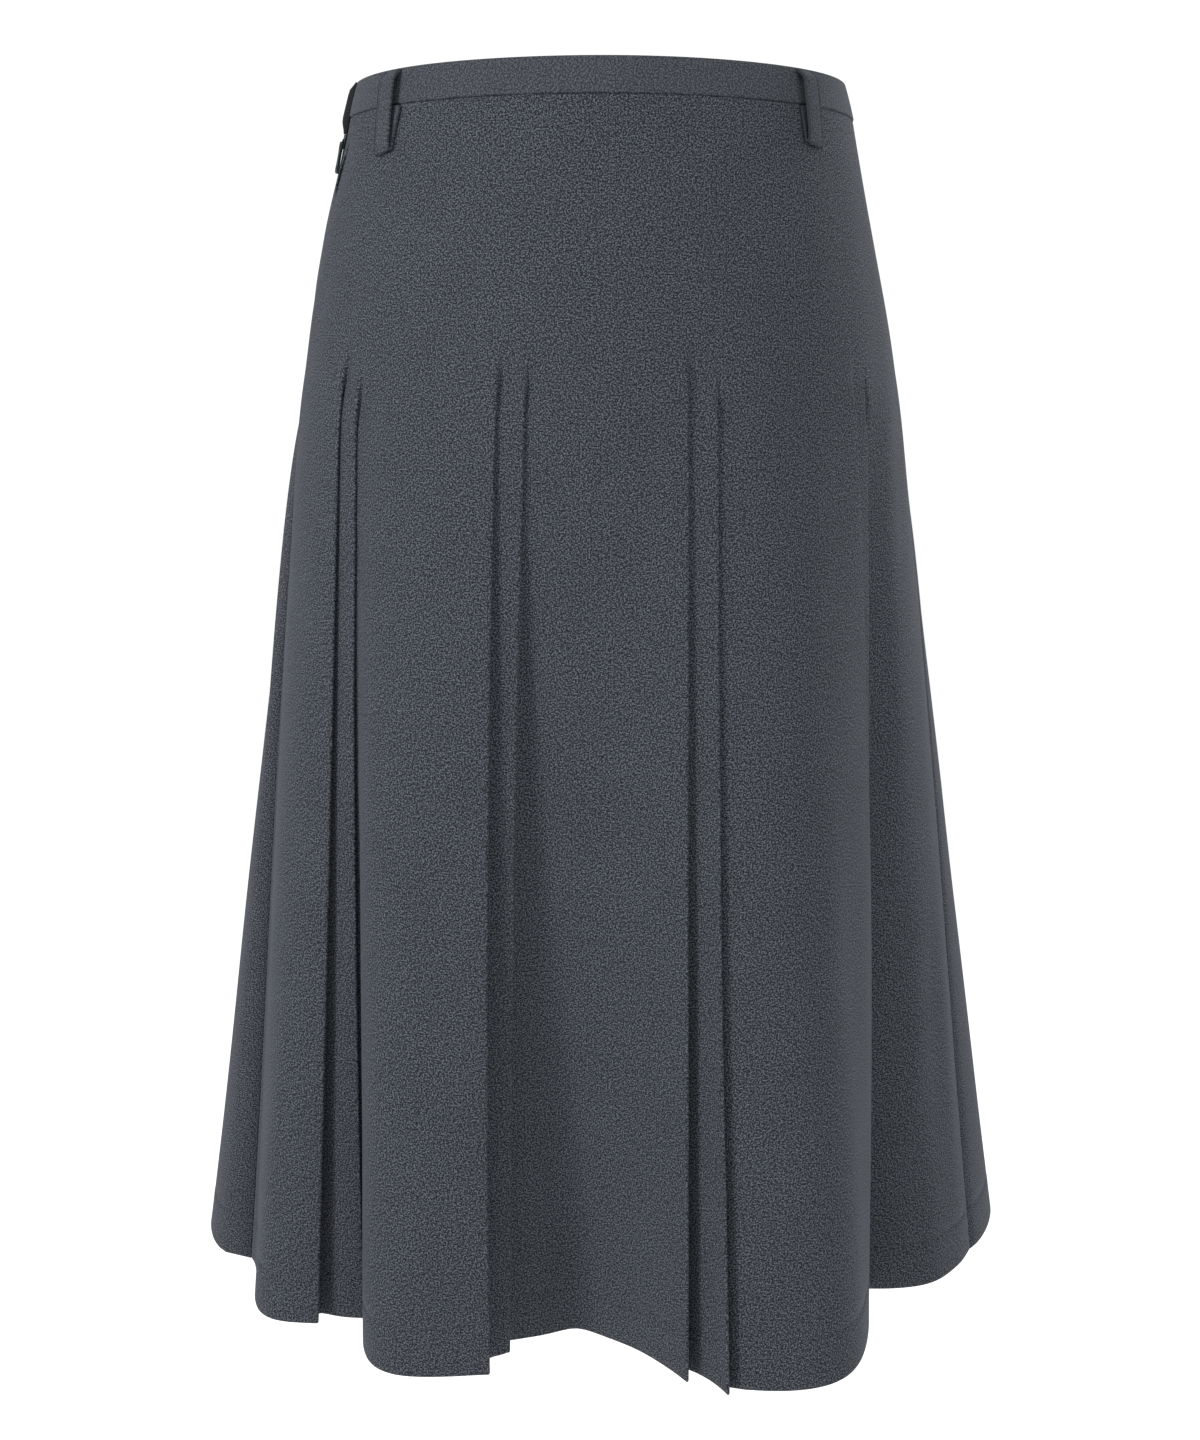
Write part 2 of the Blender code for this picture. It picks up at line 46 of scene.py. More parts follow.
camera.location = (0.0, -0.975, -0.172)
camera.rotation_euler = (math.radians(78.0), 0.0, 0.0)
bpy.context.scene.collection.objects.link(camera)
bpy.context.scene.camera = camera
bpy.context.scene.view_settings.view_transform = "Standard"


# ---------------------------------------------------------------- studio
# A pale floor well below the hem, an even white surround, a soft box from the front left
# with a wide weak one facing it, and a tall box behind each side for the cloth's bright edges.
WHITE = (1.0, 1.0, 1.0, 1.0)
FLOOR_Z = -1.25
FLOOR_HALF = 16.0
FLOOR_GLOW = 0.65         # what the camera sees the floor give out
SURROUND_LIGHT = 0.38     # the surround as a light
SURROUND_SEEN = 1.05      # the surround as the camera sees it, plain white

# name, place, level on the skirt's axis that the lamp aims at, width, height, watts
SOFTBOXES = (
    ("front_box", (-2.05, -1.55, 0.65), -0.38, 0.8, 0.8, 42.0),
    ("fill_box", (1.7, -1.8, 0.5), -0.38, 2.0, 2.0, 19.0),
    ("left_box", (-1.5, 0.75, -0.2), -0.35, 0.5, 1.7, 1.2),
    ("right_box", (1.5, 0.75, 0.2), -0.25, 0.5, 1.2, 8.5),
)
for name, place, aim, width, height, watts in SOFTBOXES:
    data = bpy.data.lights.new(name, "AREA")
    data.shape = "RECTANGLE"
    data.size = width
    data.size_y = height
    data.energy = watts
    lamp = bpy.data.objects.new(name, data)
    lamp.location = place
    way = Vector((0.0, 0.0, aim)) - Vector(place)
    lamp.rotation_euler = way.to_track_quat("-Z", "Y").to_euler()
    bpy.context.scene.collection.objects.link(lamp)


class NodeWriter:
    """Adds nodes to a tree in short form, with links or values by the socket's name or place."""

    def __init__(self, tree):
        self.tree = tree

    def node(self, kind, values=None, **settings):
        made = self.tree.nodes.new(kind)
        for key, value in settings.items():
            setattr(made, key, value)
        for key, value in (values or {}).items():
            socket = made.inputs[key]
            if isinstance(value, bpy.types.NodeSocket):
                self.tree.links.new(value, socket)
            else:
                socket.default_value = value
        return made

    def math(self, operation, a, b=0.0, c=0.0):
        return self.node("ShaderNodeMath", {0: a, 1: b, 2: c}, operation=operation).outputs[0]

    def noise(self, vector, scale, detail=2.0, roughness=0.5):
        values = {"Vector": vector, "Scale": scale, "Detail": detail, "Roughness": roughness}
        return self.node("ShaderNodeTexNoise", values).outputs["Fac"]

    def stretch(self, vector, scale):
        values = {"Vector": vector, "Scale": scale}
        return self.node("ShaderNodeMapping", values).outputs["Vector"]

    def dot(self, a, b):
        made = self.node("ShaderNodeVectorMath", {0: a, 1: b}, operation="DOT_PRODUCT")
        return made.outputs["Value"]

    def blend(self, share, a, b):
        return self.node("ShaderNodeMix", {0: share, 6: a, 7: b}, data_type="RGBA").outputs[2]

    def ramp(self, value, low, high):
        values = {"Value": value, "From Min": low, "From Max": high}
        return self.node("ShaderNodeMapRange", values).outputs["Result"]

    def bump(self, height, strength, distance):
        values = {"Height": height, "Strength": strength, "Distance": distance}
        return self.node("ShaderNodeBump", values).outputs["Normal"]

    def feed(self, target, **sources):
        """Links outputs to the sockets of a node, by the sockets' names."""
        for label, output in sources.items():
            self.tree.links.new(output, target.inputs[label.replace("_", " ")])


def object_from(form, name, made, body):
    """A finished piece from a bmesh, shaded smooth, with its material and its CAD body."""
    mesh = bpy.data.meshes.new(name)
    form.to_mesh(mesh)
    form.free()
    for face in mesh.polygons:
        face.use_smooth = True
    mesh.materials.append(made)
    item = bpy.data.objects.new(name, mesh)
    bpy.context.scene.collection.objects.link(item)
    if body:
        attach(item, body)
    return item


def new_material(name, **constants):
    """A Principled material with its constant sockets set, its node writer and its shader."""
    made = bpy.data.materials.new(name)
    made.use_nodes = True
    shader = made.node_tree.nodes["Principled BSDF"]
    for label, value in constants.items():
        shader.inputs[label.replace("_", " ")].default_value = value
    return made, NodeWriter(made.node_tree), shader


surround = bpy.data.worlds.new("surround")
bpy.context.scene.world = surround
surround.use_nodes = True
backdrop = surround.node_tree.nodes["Background"]
backdrop.inputs["Color"].default_value = WHITE
writer = NodeWriter(surround.node_tree)
seen = writer.node("ShaderNodeLightPath").outputs["Is Camera Ray"]
writer.feed(backdrop, Strength=writer.math("MULTIPLY_ADD", seen, SURROUND_SEEN - SURROUND_LIGHT,
                                           SURROUND_LIGHT))

floor_paint, writer, shader = new_material("floor_paint", Roughness=0.9, Emission_Color=WHITE)
patches = writer.node("ShaderNodeTexNoise", {"Scale": 0.7}).outputs["Fac"]
seen = writer.node("ShaderNodeLightPath").outputs["Is Camera Ray"]
pale = writer.blend(patches, (0.90, 0.90, 0.90, 1.0), (0.93, 0.93, 0.93, 1.0))
writer.feed(shader, Base_Color=pale, Emission_Strength=writer.math("MULTIPLY", seen, FLOOR_GLOW))
form = bmesh.new()
bmesh.ops.create_grid(form, x_segments=4, y_segments=4, size=FLOOR_HALF)
bmesh.ops.translate(form, verts=form.verts, vec=(0.0, 0.0, FLOOR_Z))
object_from(form, "floor", floor_paint, None)


# ---------------------------------------------------------------- skirt cloth
# Front and back are each one wide piece of soft marl twill, pressed into pairs of knife
# pleats that are sewn shut to below the hip and fall open from there to the hem.
LENGTH = 0.710            # waistband top to hem
BAND = 0.0195             # waistband height
SEAM_GAP = 0.0004         # air between two sewn pieces
CLOTH = 0.0008            # wall of the skirt cloth
FOLD_R = 0.00048          # radius of a pressed fold where it is released
FOLD_SWELL = 0.00008      # what the radius gains lower down, where the fold isn't held flat
TUCK_START = 0.0003       # depth of a pleat's under layer where it is released
FOLD_RUN = 0.045          # height over which a pleat turns from flat to folded
BLEND = 0.024             # cloth beside a fold that lifts or sinks with it
HIP_Z = -0.162
BEND_RUN = 0.045          # softness of the bend at the hip
SKIRT_TOP = -(BAND + SEAM_GAP)
FALL = LENGTH + HIP_Z     # hip to hem
SWELL_LEFT = 0.0031       # fullness of the left side, below the hip and above it
SWELL_RIGHT = 0.0027      # fullness of the right side, below the hip
SWELL_TOP = -0.024        # level where the left side's upper fullness starts
SWELL_RUN = 0.060         # height over which it comes and goes
UNDER_SHARE = 2.0 / 3.0   # of a pleat's depth, what the cloth under it sinks; the rest lifts
FOLD_ROOM = 0.3           # share of its depth that a turned-in row keeps inside a fold
FOLD_NEAR = 1.0 / 12.0    # share of a panel beside a fold over which that room grows to all
FOLD_CLEAR = 0.0006       # flat cloth left between the last column and a fold
SPREAD_OPEN = 0.45        # share of the slack under a pleat that its fold takes at the hem

# half widths and half depths of the rounded sections (side, front, back)
SEAM = (0.1480, 0.1010, 0.1010)
HIP = (0.1790, 0.1250, 0.1290)

# Angles round the body that the same thread of the cloth has at the hip and at the waist. The
# first row is the left seam, the third the right one.
HIP_TO_WAIST = ((-90.0, -75.5), (0.0, 0.0), (90.0, 88.0), (180.0, 180.0), (270.0, 284.5))
left_hip, left_waist = HIP_TO_WAIST[0]
right_hip, right_waist = HIP_TO_WAIST[2]

# Pleats. hip: angle at the hip; start: level of release; tuck: depth at the hem; bow: at mid height
PLEAT_COLUMNS = ("hip", "start", "tuck", "bow")
FRONT_PLEATS = (
    (-55.1, -0.142, 0.016, 0.000),
    (-49.7, -0.155, 0.014, -0.003),
    (-18.1, -0.145, 0.017, -0.003),
    (-12.9, -0.146, 0.007, -0.002),
    (15.3, -0.144, 0.015, 0.000),
    (20.7, -0.158, 0.013, -0.0015),
    (52.5, -0.156, 0.013, 0.005),
    (57.5, -0.170, 0.005, 0.003),
)
BACK_PLEATS = (
    (122.5, -0.146, 0.014, 0.002),
    (127.5, -0.158, 0.013, 0.000),
    (161.5, -0.138, 0.016, -0.002),
    (167.0, -0.152, 0.013, 0.001),
    (195.0, -0.142, 0.016, 0.002),
    (200.5, -0.156, 0.012, 0.000),
    (232.0, -0.136, 0.015, -0.003),
    (237.5, -0.150, 0.012, 0.002),
)

# Panels between the pleats. x0, y0, x1, y1: ends at the hem (millimetres); belly: swell
# between them; peak and square: its form; lean: cloth drawn to one side at the hip.
PANEL_COLUMNS = ("x0", "y0", "x1", "y1", "belly", "peak", "square", "lean", "columns")
FRONT_PANELS = (
    (-220.5, -80.6, -166.0, -150.8, 22.0, 0.66, 1.0, 1.5, 26),
    (-165.4, -140.6, -139.6, -145.7, 1.5, 0.50, 1.0, 1.0, 6),
    (-135.0, -141.0, -61.7, -199.3, 35.5, 0.45, 1.0, 1.0, 26),
    (-61.9, -183.7, -51.4, -179.0, 0.5, 0.50, 1.0, 1.0, 4),
    (-51.4, -167.5, 48.2, -206.5, -20.5, 0.50, 1.0, 1.0, 28),
    (50.4, -195.7, 69.9, -217.9, -1.7, 0.50, 1.0, 1.0, 6),
    (71.6, -210.9, 161.1, -129.0, 37.5, 0.44, 1.0, 1.0, 28),
    (156.1, -127.3, 159.2, -117.2, 0.0, 0.50, 1.0, 1.0, 4),
    (154.5, -114.7, 236.2, -70.1, 18.0, 0.50, 1.0, 1.0, 24),
)
BACK_PANELS = (
    (236.2, -70.1, 208.5, 101.0, 38.0, 0.43, 1.0, 1.0, 34),
    (200.2, 97.0, 185.0, 118.0, 1.0, 0.50, 1.0, 1.0, 6),
    (179.1, 116.0, 91.2, 194.7, 30.0, 0.45, 1.0, 1.0, 26),
    (87.8, 183.8, 65.0, 187.0, -1.0, 0.50, 1.0, 1.0, 6),
    (62.4, 179.1, -77.8, 208.0, -12.0, 0.45, 1.0, 1.0, 28),
    (-83.4, 200.6, -105.0, 206.0, 1.0, 0.50, 1.0, 1.0, 6),
    (-107.5, 200.2, -202.5, 113.2, 26.0, 0.40, 1.0, 1.0, 26),
    (-195.5, 109.1, -208.5, 90.5, 0.0, 0.50, 1.0, 1.0, 6),
    (-204.4, 85.9, -220.5, -80.6, 44.0, 0.57, 0.4, 1.0, 34),
)

# Soft creases. panel; place across it at the top and foot of the crease (0 to 1);
# top and foot levels; half width and height in millimetres (ridges above 0, troughs below).
CREASE_COLUMNS = ("panel", "across_top", "across_foot", "top", "foot", "wide", "high")
FRONT_CREASES = (
    (0, 0.40, 0.34, -0.06, -0.30, 11.0, 0.7),
    (0, 0.93, 0.96, -0.085, -0.19, 5.0, -0.5),
    (0, 0.72, 0.60, -0.26, -0.70, 13.0, -1.1),
    (0, 0.20, 0.24, -0.38, -0.72, 12.0, 1.0),
    (2, 0.34, 0.22, -0.19, -0.52, 15.0, 0.7),
    (2, 0.66, 0.78, -0.33, -0.73, 17.0, -1.0),
    (2, 0.40, 0.36, -0.48, -0.74, 13.0, 0.6),
    (4, 0.02, 0.49, -0.24, -1.00, 17.0, -6.4),
    (4, 0.02, 0.49, -0.24, -1.00, 8.0, -1.5),
    (4, 0.46, 0.52, -0.11, -0.33, 20.0, 0.5),
    (4, 0.70, 0.80, -0.36, -0.73, 18.0, 0.9),
    (6, 0.30, 0.26, -0.20, -0.56, 16.0, 0.6),
    (6, 0.64, 0.74, -0.28, -0.73, 15.0, -1.2),
    (6, 0.90, 0.92, -0.38, -0.72, 10.0, 0.7),
    (8, 0.34, 0.26, -0.15, -0.46, 10.0, 0.8),
    (8, 0.60, 0.66, -0.33, -0.73, 14.0, -1.4),
    (8, 0.80, 0.86, -0.47, -0.74, 10.0, 1.2),
)
BACK_CREASES = (
    (0, 0.28, 0.24, -0.09, -0.42, 15.0, -0.8),
    (0, 0.55, 0.62, -0.30, -0.73, 17.0, 1.2),
    (0, 0.82, 0.78, -0.20, -0.60, 13.0, -0.9),
    (2, 0.30, 0.22, -0.21, -0.56, 16.0, 0.8),
    (2, 0.70, 0.76, -0.34, -0.73, 15.0, -1.0),
    (4, 0.26, 0.18, -0.17, -0.48, 18.0, -0.7),
    (4, 0.55, 0.50, -0.30, -0.73, 20.0, 0.9),
    (4, 0.80, 0.86, -0.24, -0.59, 14.0, -0.8),
    (6, 0.28, 0.36, -0.22, -0.64, 15.0, -0.9),
    (6, 0.68, 0.74, -0.33, -0.73, 16.0, 1.0),
    (8, 0.22, 0.28, -0.31, -0.73, 16.0, 1.1),
    (8, 0.48, 0.42, -0.14, -0.52, 15.0, -0.8),
    (8, 0.78, 0.72, -0.24, -0.68, 14.0, 0.9),
)

# Rows of the cloth from its edge inside the waistband to the waist seam and the hem, then
# round the hem and up inside it. Each row: level, and how far it is turned in from its face.
HEM_LINE = -0.6835        # level of the blind stitching that holds the hem
HEM_IN = 0.00145          # how far in the turned-up layer lies
ROWS = [(SKIRT_TOP + 0.0012, 0.0017), (SKIRT_TOP + 0.0004, 0.0016), (SKIRT_TOP + 0.0001, 0.0009)]
ROWS += [(SKIRT_TOP - 0.0001, 0.0003), (SKIRT_TOP - 0.0005, 0.0)]
ROWS += [(SKIRT_TOP - 0.0020 - 0.0040 * step, 0.0) for step in range(22)]
ROWS += [(-0.1085 - 0.0026 * step, 0.0) for step in range(38)]
ROWS += [(-0.2095 - 0.0080 * step, 0.0) for step in range(59)]
ROWS += [(HEM_LINE + 0.0011, 0.0), (HEM_LINE, 0.00060), (HEM_LINE - 0.0009, 0.0)]
ROWS += [(-0.6890, -0.0001), (-0.6945, 0.0), (-0.7000, 0.0), (-0.7055, 0.0), (-0.7088, 0.0)]
ROWS += [(-0.7097, 0.00025), (-LENGTH, 0.0007), (-0.7097, 0.0012), (-0.7085, HEM_IN)]
ROWS += [(-0.7050, HEM_IN), (-0.6980, HEM_IN), (-0.6910, HEM_IN), (-0.6850, HEM_IN)]


def table(columns, rows):
    return [dict(zip(columns, row)) for row in rows]


def mix(a, b, t):
    return a + (b - a) * t


def spread(start, end, count):
    return [mix(start, end, i / (count - 1)) for i in range(count)]


def clamp01(t):
    return min(1.0, max(0.0, t))


def smooth(t):
    t = clamp01(t)
    return t * t * (3.0 - 2.0 * t)


def unit(a, b):
    """Direction in plan from one point to another."""
    length = math.hypot(b[0] - a[0], b[1] - a[1])
    return (b[0] - a[0]) / length, (b[1] - a[1]) / length


def below_hip(z):
    """How far level z lies on the way from hip to hem, 0 to 1."""
    return clamp01((HIP_Z - z) / FALL)


def oval(section, degrees):
    """A point of a rounded section, at an angle counted from the front."""
    side, front_depth, back_depth = section
    angle = math.radians(degrees)
    depth = front_depth if math.cos(angle) > 0.0 else back_depth
    return side * math.sin(angle), -depth * math.cos(angle)


def carried(angle, start, end):
    """The angle of a thread, carried from the hip (0) to the waist (1) or back."""
    for low, high in zip(HIP_TO_WAIST, HIP_TO_WAIST[1:]):
        if angle <= high[start]:
            break
    return mix(low[end], high[end], (angle - low[start]) / (high[start] - low[start]))


def hang(top, hip, hem, z):
    """Where cloth lies at level z on its way from waist to hip to hem."""
    below = HIP_Z - z
    bend = min(2.0 * BEND_RUN, max(0.0, below + BEND_RUN))
    soft = bend ** 2 / (4.0 * BEND_RUN) + max(0.0, below - BEND_RUN)
    point = []
    for a, b, c in zip(top, hip, hem):
        upper = (b - a) / (SKIRT_TOP - HIP_Z)
        lower = (c - b) / FALL
        point.append(b + upper * below + (lower - upper) * soft)
    return point


def puckers(degrees):
    """Uneven pull of the waist seam's stitches round the body."""
    return math.sin(2.9 * degrees) + 0.7 * math.sin(4.7 * degrees + 0.8)


def side_swell(x, z):
    """Sideways fullness at the side seams: below the hip, and above it on the left too."""
    drop = below_hip(z)
    swell = 6.75 * drop * (1.0 - drop) ** 2     # 1 at a third of the way down
    if x > 0.0:
        return SWELL_RIGHT * swell
    above = smooth((SWELL_TOP - z) / SWELL_RUN) * smooth((z - HIP_Z) / SWELL_RUN)
    return -SWELL_LEFT * (swell + above)


def fold_section(turn, tuck, fold_r, arc_steps):
    """A pleat's section (u along the cloth, n outwards), for its turn from 0 flat to pi folded."""
    turn = max(turn, 1e-3)
    arc = math.pi * fold_r
    radius = arc / turn
    u = -mix(arc + 0.5 * TUCK_START, fold_r, turn / math.pi)
    outer = []
    for step in range(arc_steps + 1):
        angle = turn * step / arc_steps
        outer.append((u + radius * math.sin(angle), -radius * (1.0 - math.cos(angle))))
    u, n = outer[-1]
    middle_u, middle_n = u + 0.5 * tuck * math.cos(turn), n - 0.5 * tuck * math.sin(turn)
    inner = [(2.0 * middle_u - u, 2.0 * middle_n - n) for u, n in reversed(outer)]
    return outer + [(middle_u, middle_n)] + inner


PLACE_STEP = 0.004        # step across a panel, as a share of it
FOLD_STEPS = 5            # steps round each of a pleat's two folds


class Half:
    """Front or back of the skirt: its panels, the pleats between them and its creases."""

    def __init__(self, panels, pleats, creases, hip_from, hip_to):
        self.panels = table(PANEL_COLUMNS, panels)
        pleats = [None] + table(PLEAT_COLUMNS, pleats) + [None]
        edges = [hip_from] + [pleat["hip"] for pleat in pleats[1:-1]] + [hip_to]
        for index, panel in enumerate(self.panels):
            panel["from"], panel["to"] = edges[index:index + 2]
            panel["before"], panel["after"] = pleats[index:index + 2]
            panel["creases"] = []
        for crease in table(CREASE_COLUMNS, creases):
            self.panels[crease["panel"]]["creases"].append(crease)

    def base(self, panel, t, z):
        """The panel without the lift of its pleats."""
        span_x, span_y = panel["x1"] - panel["x0"], panel["y1"] - panel["y0"]
        power = math.log(0.5) / math.log(panel["peak"])
        bulge = max(0.0, math.sin(math.pi * t ** power)) ** panel["square"]
        out = panel["belly"] * bulge / math.hypot(span_x, span_y)
        hem_x = 0.001 * (panel["x0"] + span_x * t + span_y * out)
        hem_y = 0.001 * (panel["y0"] + span_y * t - span_x * out)
        hip_angle = mix(panel["from"], panel["to"], t ** panel["lean"])
        top = oval(SEAM, carried(hip_angle, 0, 1))
        x, y = hang(top, oval(HIP, hip_angle), (hem_x, hem_y), z)
        drop = below_hip(z)
        bow = 0.0
        for pleat, share in ((panel["before"], 1.0 - t), (panel["after"], t)):
            if pleat:
                bow += pleat["bow"] * share
            else:
                x += side_swell(x, z) * share
        return x + 4.0 * bow * drop * (1.0 - drop), y

    def frame(self, panel, t, z):
        """Point, direction along the cloth and direction outwards."""
        along = unit(self.base(panel, max(0.0, t - PLACE_STEP), z),
                     self.base(panel, min(1.0, t + PLACE_STEP), z))
        return self.base(panel, t, z), along, (along[1], -along[0])

    def width(self, panel, z):
        if panel.get("level") != z:
            points = [self.base(panel, i / 8.0, z) for i in range(9)]
            panel["level"] = z
            panel["wide"] = sum(math.dist(a, b) for a, b in zip(points, points[1:]))
        return panel["wide"]

    def state(self, pleat, z):
        """Turn, tuck, radius and depth of a pleat at level z."""
        turn = math.pi * smooth((pleat["start"] - z) / FOLD_RUN)
        fall = clamp01((pleat["start"] - z) / (pleat["start"] + LENGTH))
        tuck = mix(TUCK_START, pleat["tuck"], fall)
        fold_r = FOLD_R + FOLD_SWELL * smooth((pleat["start"] - 0.020 - z) / 0.110)
        return turn, tuck, fold_r, -fold_section(turn, tuck, fold_r, 2)[-1][1]

    def relief(self, panel, t, z):
        """Height of the soft creases, of hanging cloth's unevenness and of the seam's puckers."""
        wide = self.width(panel, z)
        height = 0.0
        for crease in panel["creases"]:
            run = (crease["top"] - z) / (crease["top"] - crease["foot"])
            if 0.0 < run < 1.0:
                centre = mix(crease["across_top"], crease["across_foot"], run)
                off = (t - centre) * wide / (0.001 * crease["wide"])
                height += 0.001 * crease["high"] * math.exp(-off * off) * math.sin(math.pi * run)
        turn = mix(panel["from"], panel["to"], t)
        below = SKIRT_TOP - z
        uneven = 0.00018 * math.sin(0.21 * turn + 19.0 * z)
        uneven += 0.00012 * math.sin(0.47 * turn - 31.0 * z + 1.3)
        pucker = 0.00016 * (puckers(turn) + 0.5 * math.sin(1.3 * turn))
        height += uneven * smooth(below / 0.05)
        return height + pucker * math.exp(-below / 0.007) * smooth(below / 0.002)

    def slide(self, panel, z):
        """How far the panel's first cloth stands off the pleat before it."""
        if not panel["before"]:
            return 0.0
        turn = self.state(panel["before"], z)[0]
        start = math.pi * FOLD_R + 0.0010 + 0.0025 * smooth(2.0 * turn)
        return mix(start, 0.0012, turn / math.pi) * (1.0 - below_hip(z))

    def point(self, panel, t, z):
        """The panel with the lift and sink that its pleats give it, and its creases."""
        (x, y), along, out = self.frame(panel, t, z)
        wide = self.width(panel, z)
        slide = self.slide(panel, z) * (1.0 - t)
        lift = self.relief(panel, t, z)
        for pleat, share, off in ((panel["before"], -UNDER_SHARE, t),
                                  (panel["after"], 1.0 - UNDER_SHARE, 1.0 - t)):
            if pleat:
                near = smooth(1.0 - off * wide / BLEND)
                lift += share * self.state(pleat, z)[3] * near * (1.0 - below_hip(z))
        return x + along[0] * slide + out[0] * lift, y + along[1] * slide + out[1] * lift

    def seam_point(self, panel, t, distance, z):
        """A point of the panel's end, moved along the cloth by a distance."""
        (x, y), along, _ = self.frame(panel, t, z)
        return x + along[0] * distance, y + along[1] * distance

    def beside(self, panel, u, n, z):
        """A point u along the cloth from the panel's end and n outwards from it."""
        t = min(1.0, 1.0 + u / self.width(panel, z))
        along = unit(self.point(panel, max(0.0, t - 0.01), z),
                     self.point(panel, min(1.0, t + 0.01), z))
        x, y = self.point(panel, t, z)
        past = max(0.0, u)
        return x + along[0] * past + along[1] * n, y + along[1] * past - along[0] * n

    def columns(self, panel, z, start_gap):
        """Places across the panel where its grid columns stand, clear of the seam and the folds."""
        wide = self.width(panel, z)
        first, last = 0.0, 1.0
        if not panel["before"]:
            edge = self.base(panel, 0.0, z)
            while math.dist(edge, self.base(panel, first, z)) < start_gap:
                first += PLACE_STEP
        if panel["after"]:
            turn, _, fold_r, _ = self.state(panel["after"], z)
            fold = mix(math.pi * fold_r + 0.5 * TUCK_START, fold_r, turn / math.pi)
            slide = self.slide(panel, z)
            last = (wide - fold - FOLD_CLEAR - slide) / (wide - slide)
        return spread(first, last, panel["columns"] + 1)

    def section(self, z, start_gap, end_gap):
        """All points at level z from one side seam to the other, with the room inside each."""
        points = []
        for index, panel in enumerate(self.panels):
            places = self.columns(panel, z, start_gap)
            if panel["before"] is None:
                points.append((*self.seam_point(panel, 0.0, start_gap, z), 1.0))
                places = places[1:]
            else:
                first = self.point(panel, 0.0, z)
                x, y, _ = points[-1]
                for share in (0.25, 0.5, 0.75):
                    points.append((mix(x, first[0], share), mix(y, first[1], share), FOLD_ROOM))
            if panel["after"] is None:
                places = places[:-1]
            for t in places:
                off = min(t if panel["before"] else 1.0, 1.0 - t if panel["after"] else 1.0)
                room = mix(FOLD_ROOM, 1.0, smooth(off / FOLD_NEAR))
                points.append((*self.point(panel, t, z), room))
            if panel["after"] is None:
                points.append((*self.seam_point(panel, 1.0, -end_gap, z), 1.0))
                continue
            turn, tuck, fold_r, depth = self.state(panel["after"], z)
            slack = math.dist(self.point(panel, 1.0, z),
                              self.point(self.panels[index + 1], 0.0, z)) - depth
            opened = SPREAD_OPEN * max(0.0, slack) * below_hip(z) ** 0.5
            for corner, (u, n) in enumerate(fold_section(turn, tuck, fold_r, FOLD_STEPS)):
                if corner > FOLD_STEPS + 1:
                    n -= opened
                points.append((*self.beside(panel, u, n, z), FOLD_ROOM))
        return points


def left_gap(z):
    """Space between the skirt's edges at the left seam, open at the slider."""
    top = mix(0.0030, 0.0006, smooth((-0.045 - z) / 0.030))
    return top + 0.0010 * below_hip(z)


def right_gap(z):
    return 0.0006 + 0.0006 * below_hip(z)


# The seam edges are turned in and pressed back: distance along from the edge, and depth in
SEAM_TURN = ((0.0100, 0.00105), (0.0060, 0.00110), (0.0025, 0.00110), (0.0006, 0.00100),
             (0.0000, 0.00070), (-0.0002, 0.00035))


def cloth_rows(half, gaps):
    """Rows of points of one half of the skirt, its turned seam edges and hem included."""
    rows = []
    for z, inset in ROWS:
        start_gap, end_gap = (0.5 * gap(z) for gap in gaps)
        line = half.section(z, start_gap, end_gap)
        row = []
        for index, (x, y, room) in enumerate(line):
            along = unit(line[max(0, index - 1)], line[min(len(line) - 1, index + 1)])
            inwards = (-along[1], along[0])
            depth = inset * room
            row.append((x + inwards[0] * depth, y + inwards[1] * depth, inwards))
        turned = []
        for ends in (row, row[::-1]):
            x, y, inwards = ends[0]
            along = unit(ends[0], ends[1])
            turned.append([(x + along[0] * distance + inwards[0] * depth,
                            y + along[1] * distance + inwards[1] * depth)
                           for distance, depth in SEAM_TURN])
        flat = turned[0] + [(x, y) for x, y, _ in row] + turned[1][::-1]
        rows.append([Vector((x, y, z)) for x, y in flat])
    return rows


def cloth_grid(name, rows, made, wall, weave_turned=False, skip=()):
    """A grid of cloth through rows of points, with a flat cloth map in metres and a wall."""
    across = len(rows[0])
    form = bmesh.new()
    bmesh.ops.create_grid(form, x_segments=across - 1, y_segments=len(rows) - 1, size=0.5)
    form.verts.index_update()
    for vert in form.verts:
        vert.co = rows[vert.index // across][vert.index % across]
    widths, lengths = [], [[0.0] * across]
    for line in rows:
        run = [0.0]
        for a, b in zip(line, line[1:]):
            run.append(run[-1] + (b - a).length)
        widths.append([place - run[across // 2] for place in run])
    for above, below in zip(rows, rows[1:]):
        lengths.append([far + (b - a).length for far, a, b in zip(lengths[-1], above, below)])
    flat = form.loops.layers.uv.new("cloth")
    for face in form.faces:
        for loop in face.loops:
            row, column = divmod(loop.vert.index, across)
            place = (widths[row][column], lengths[row][column])
            loop[flat].uv = place[::-1] if weave_turned else place
    if skip:
        form.faces.ensure_lookup_table()
        gone = [form.faces[row * (across - 1) + column] for row, column in skip]
        bmesh.ops.delete(form, geom=gone, context="FACES")
    bmesh.ops.reverse_faces(form, faces=form.faces)
    item = object_from(form, name, made, "skirt")
    thick = item.modifiers.new("wall", "SOLIDIFY")
    thick.thickness = wall
    thick.offset = 0.0
    return item


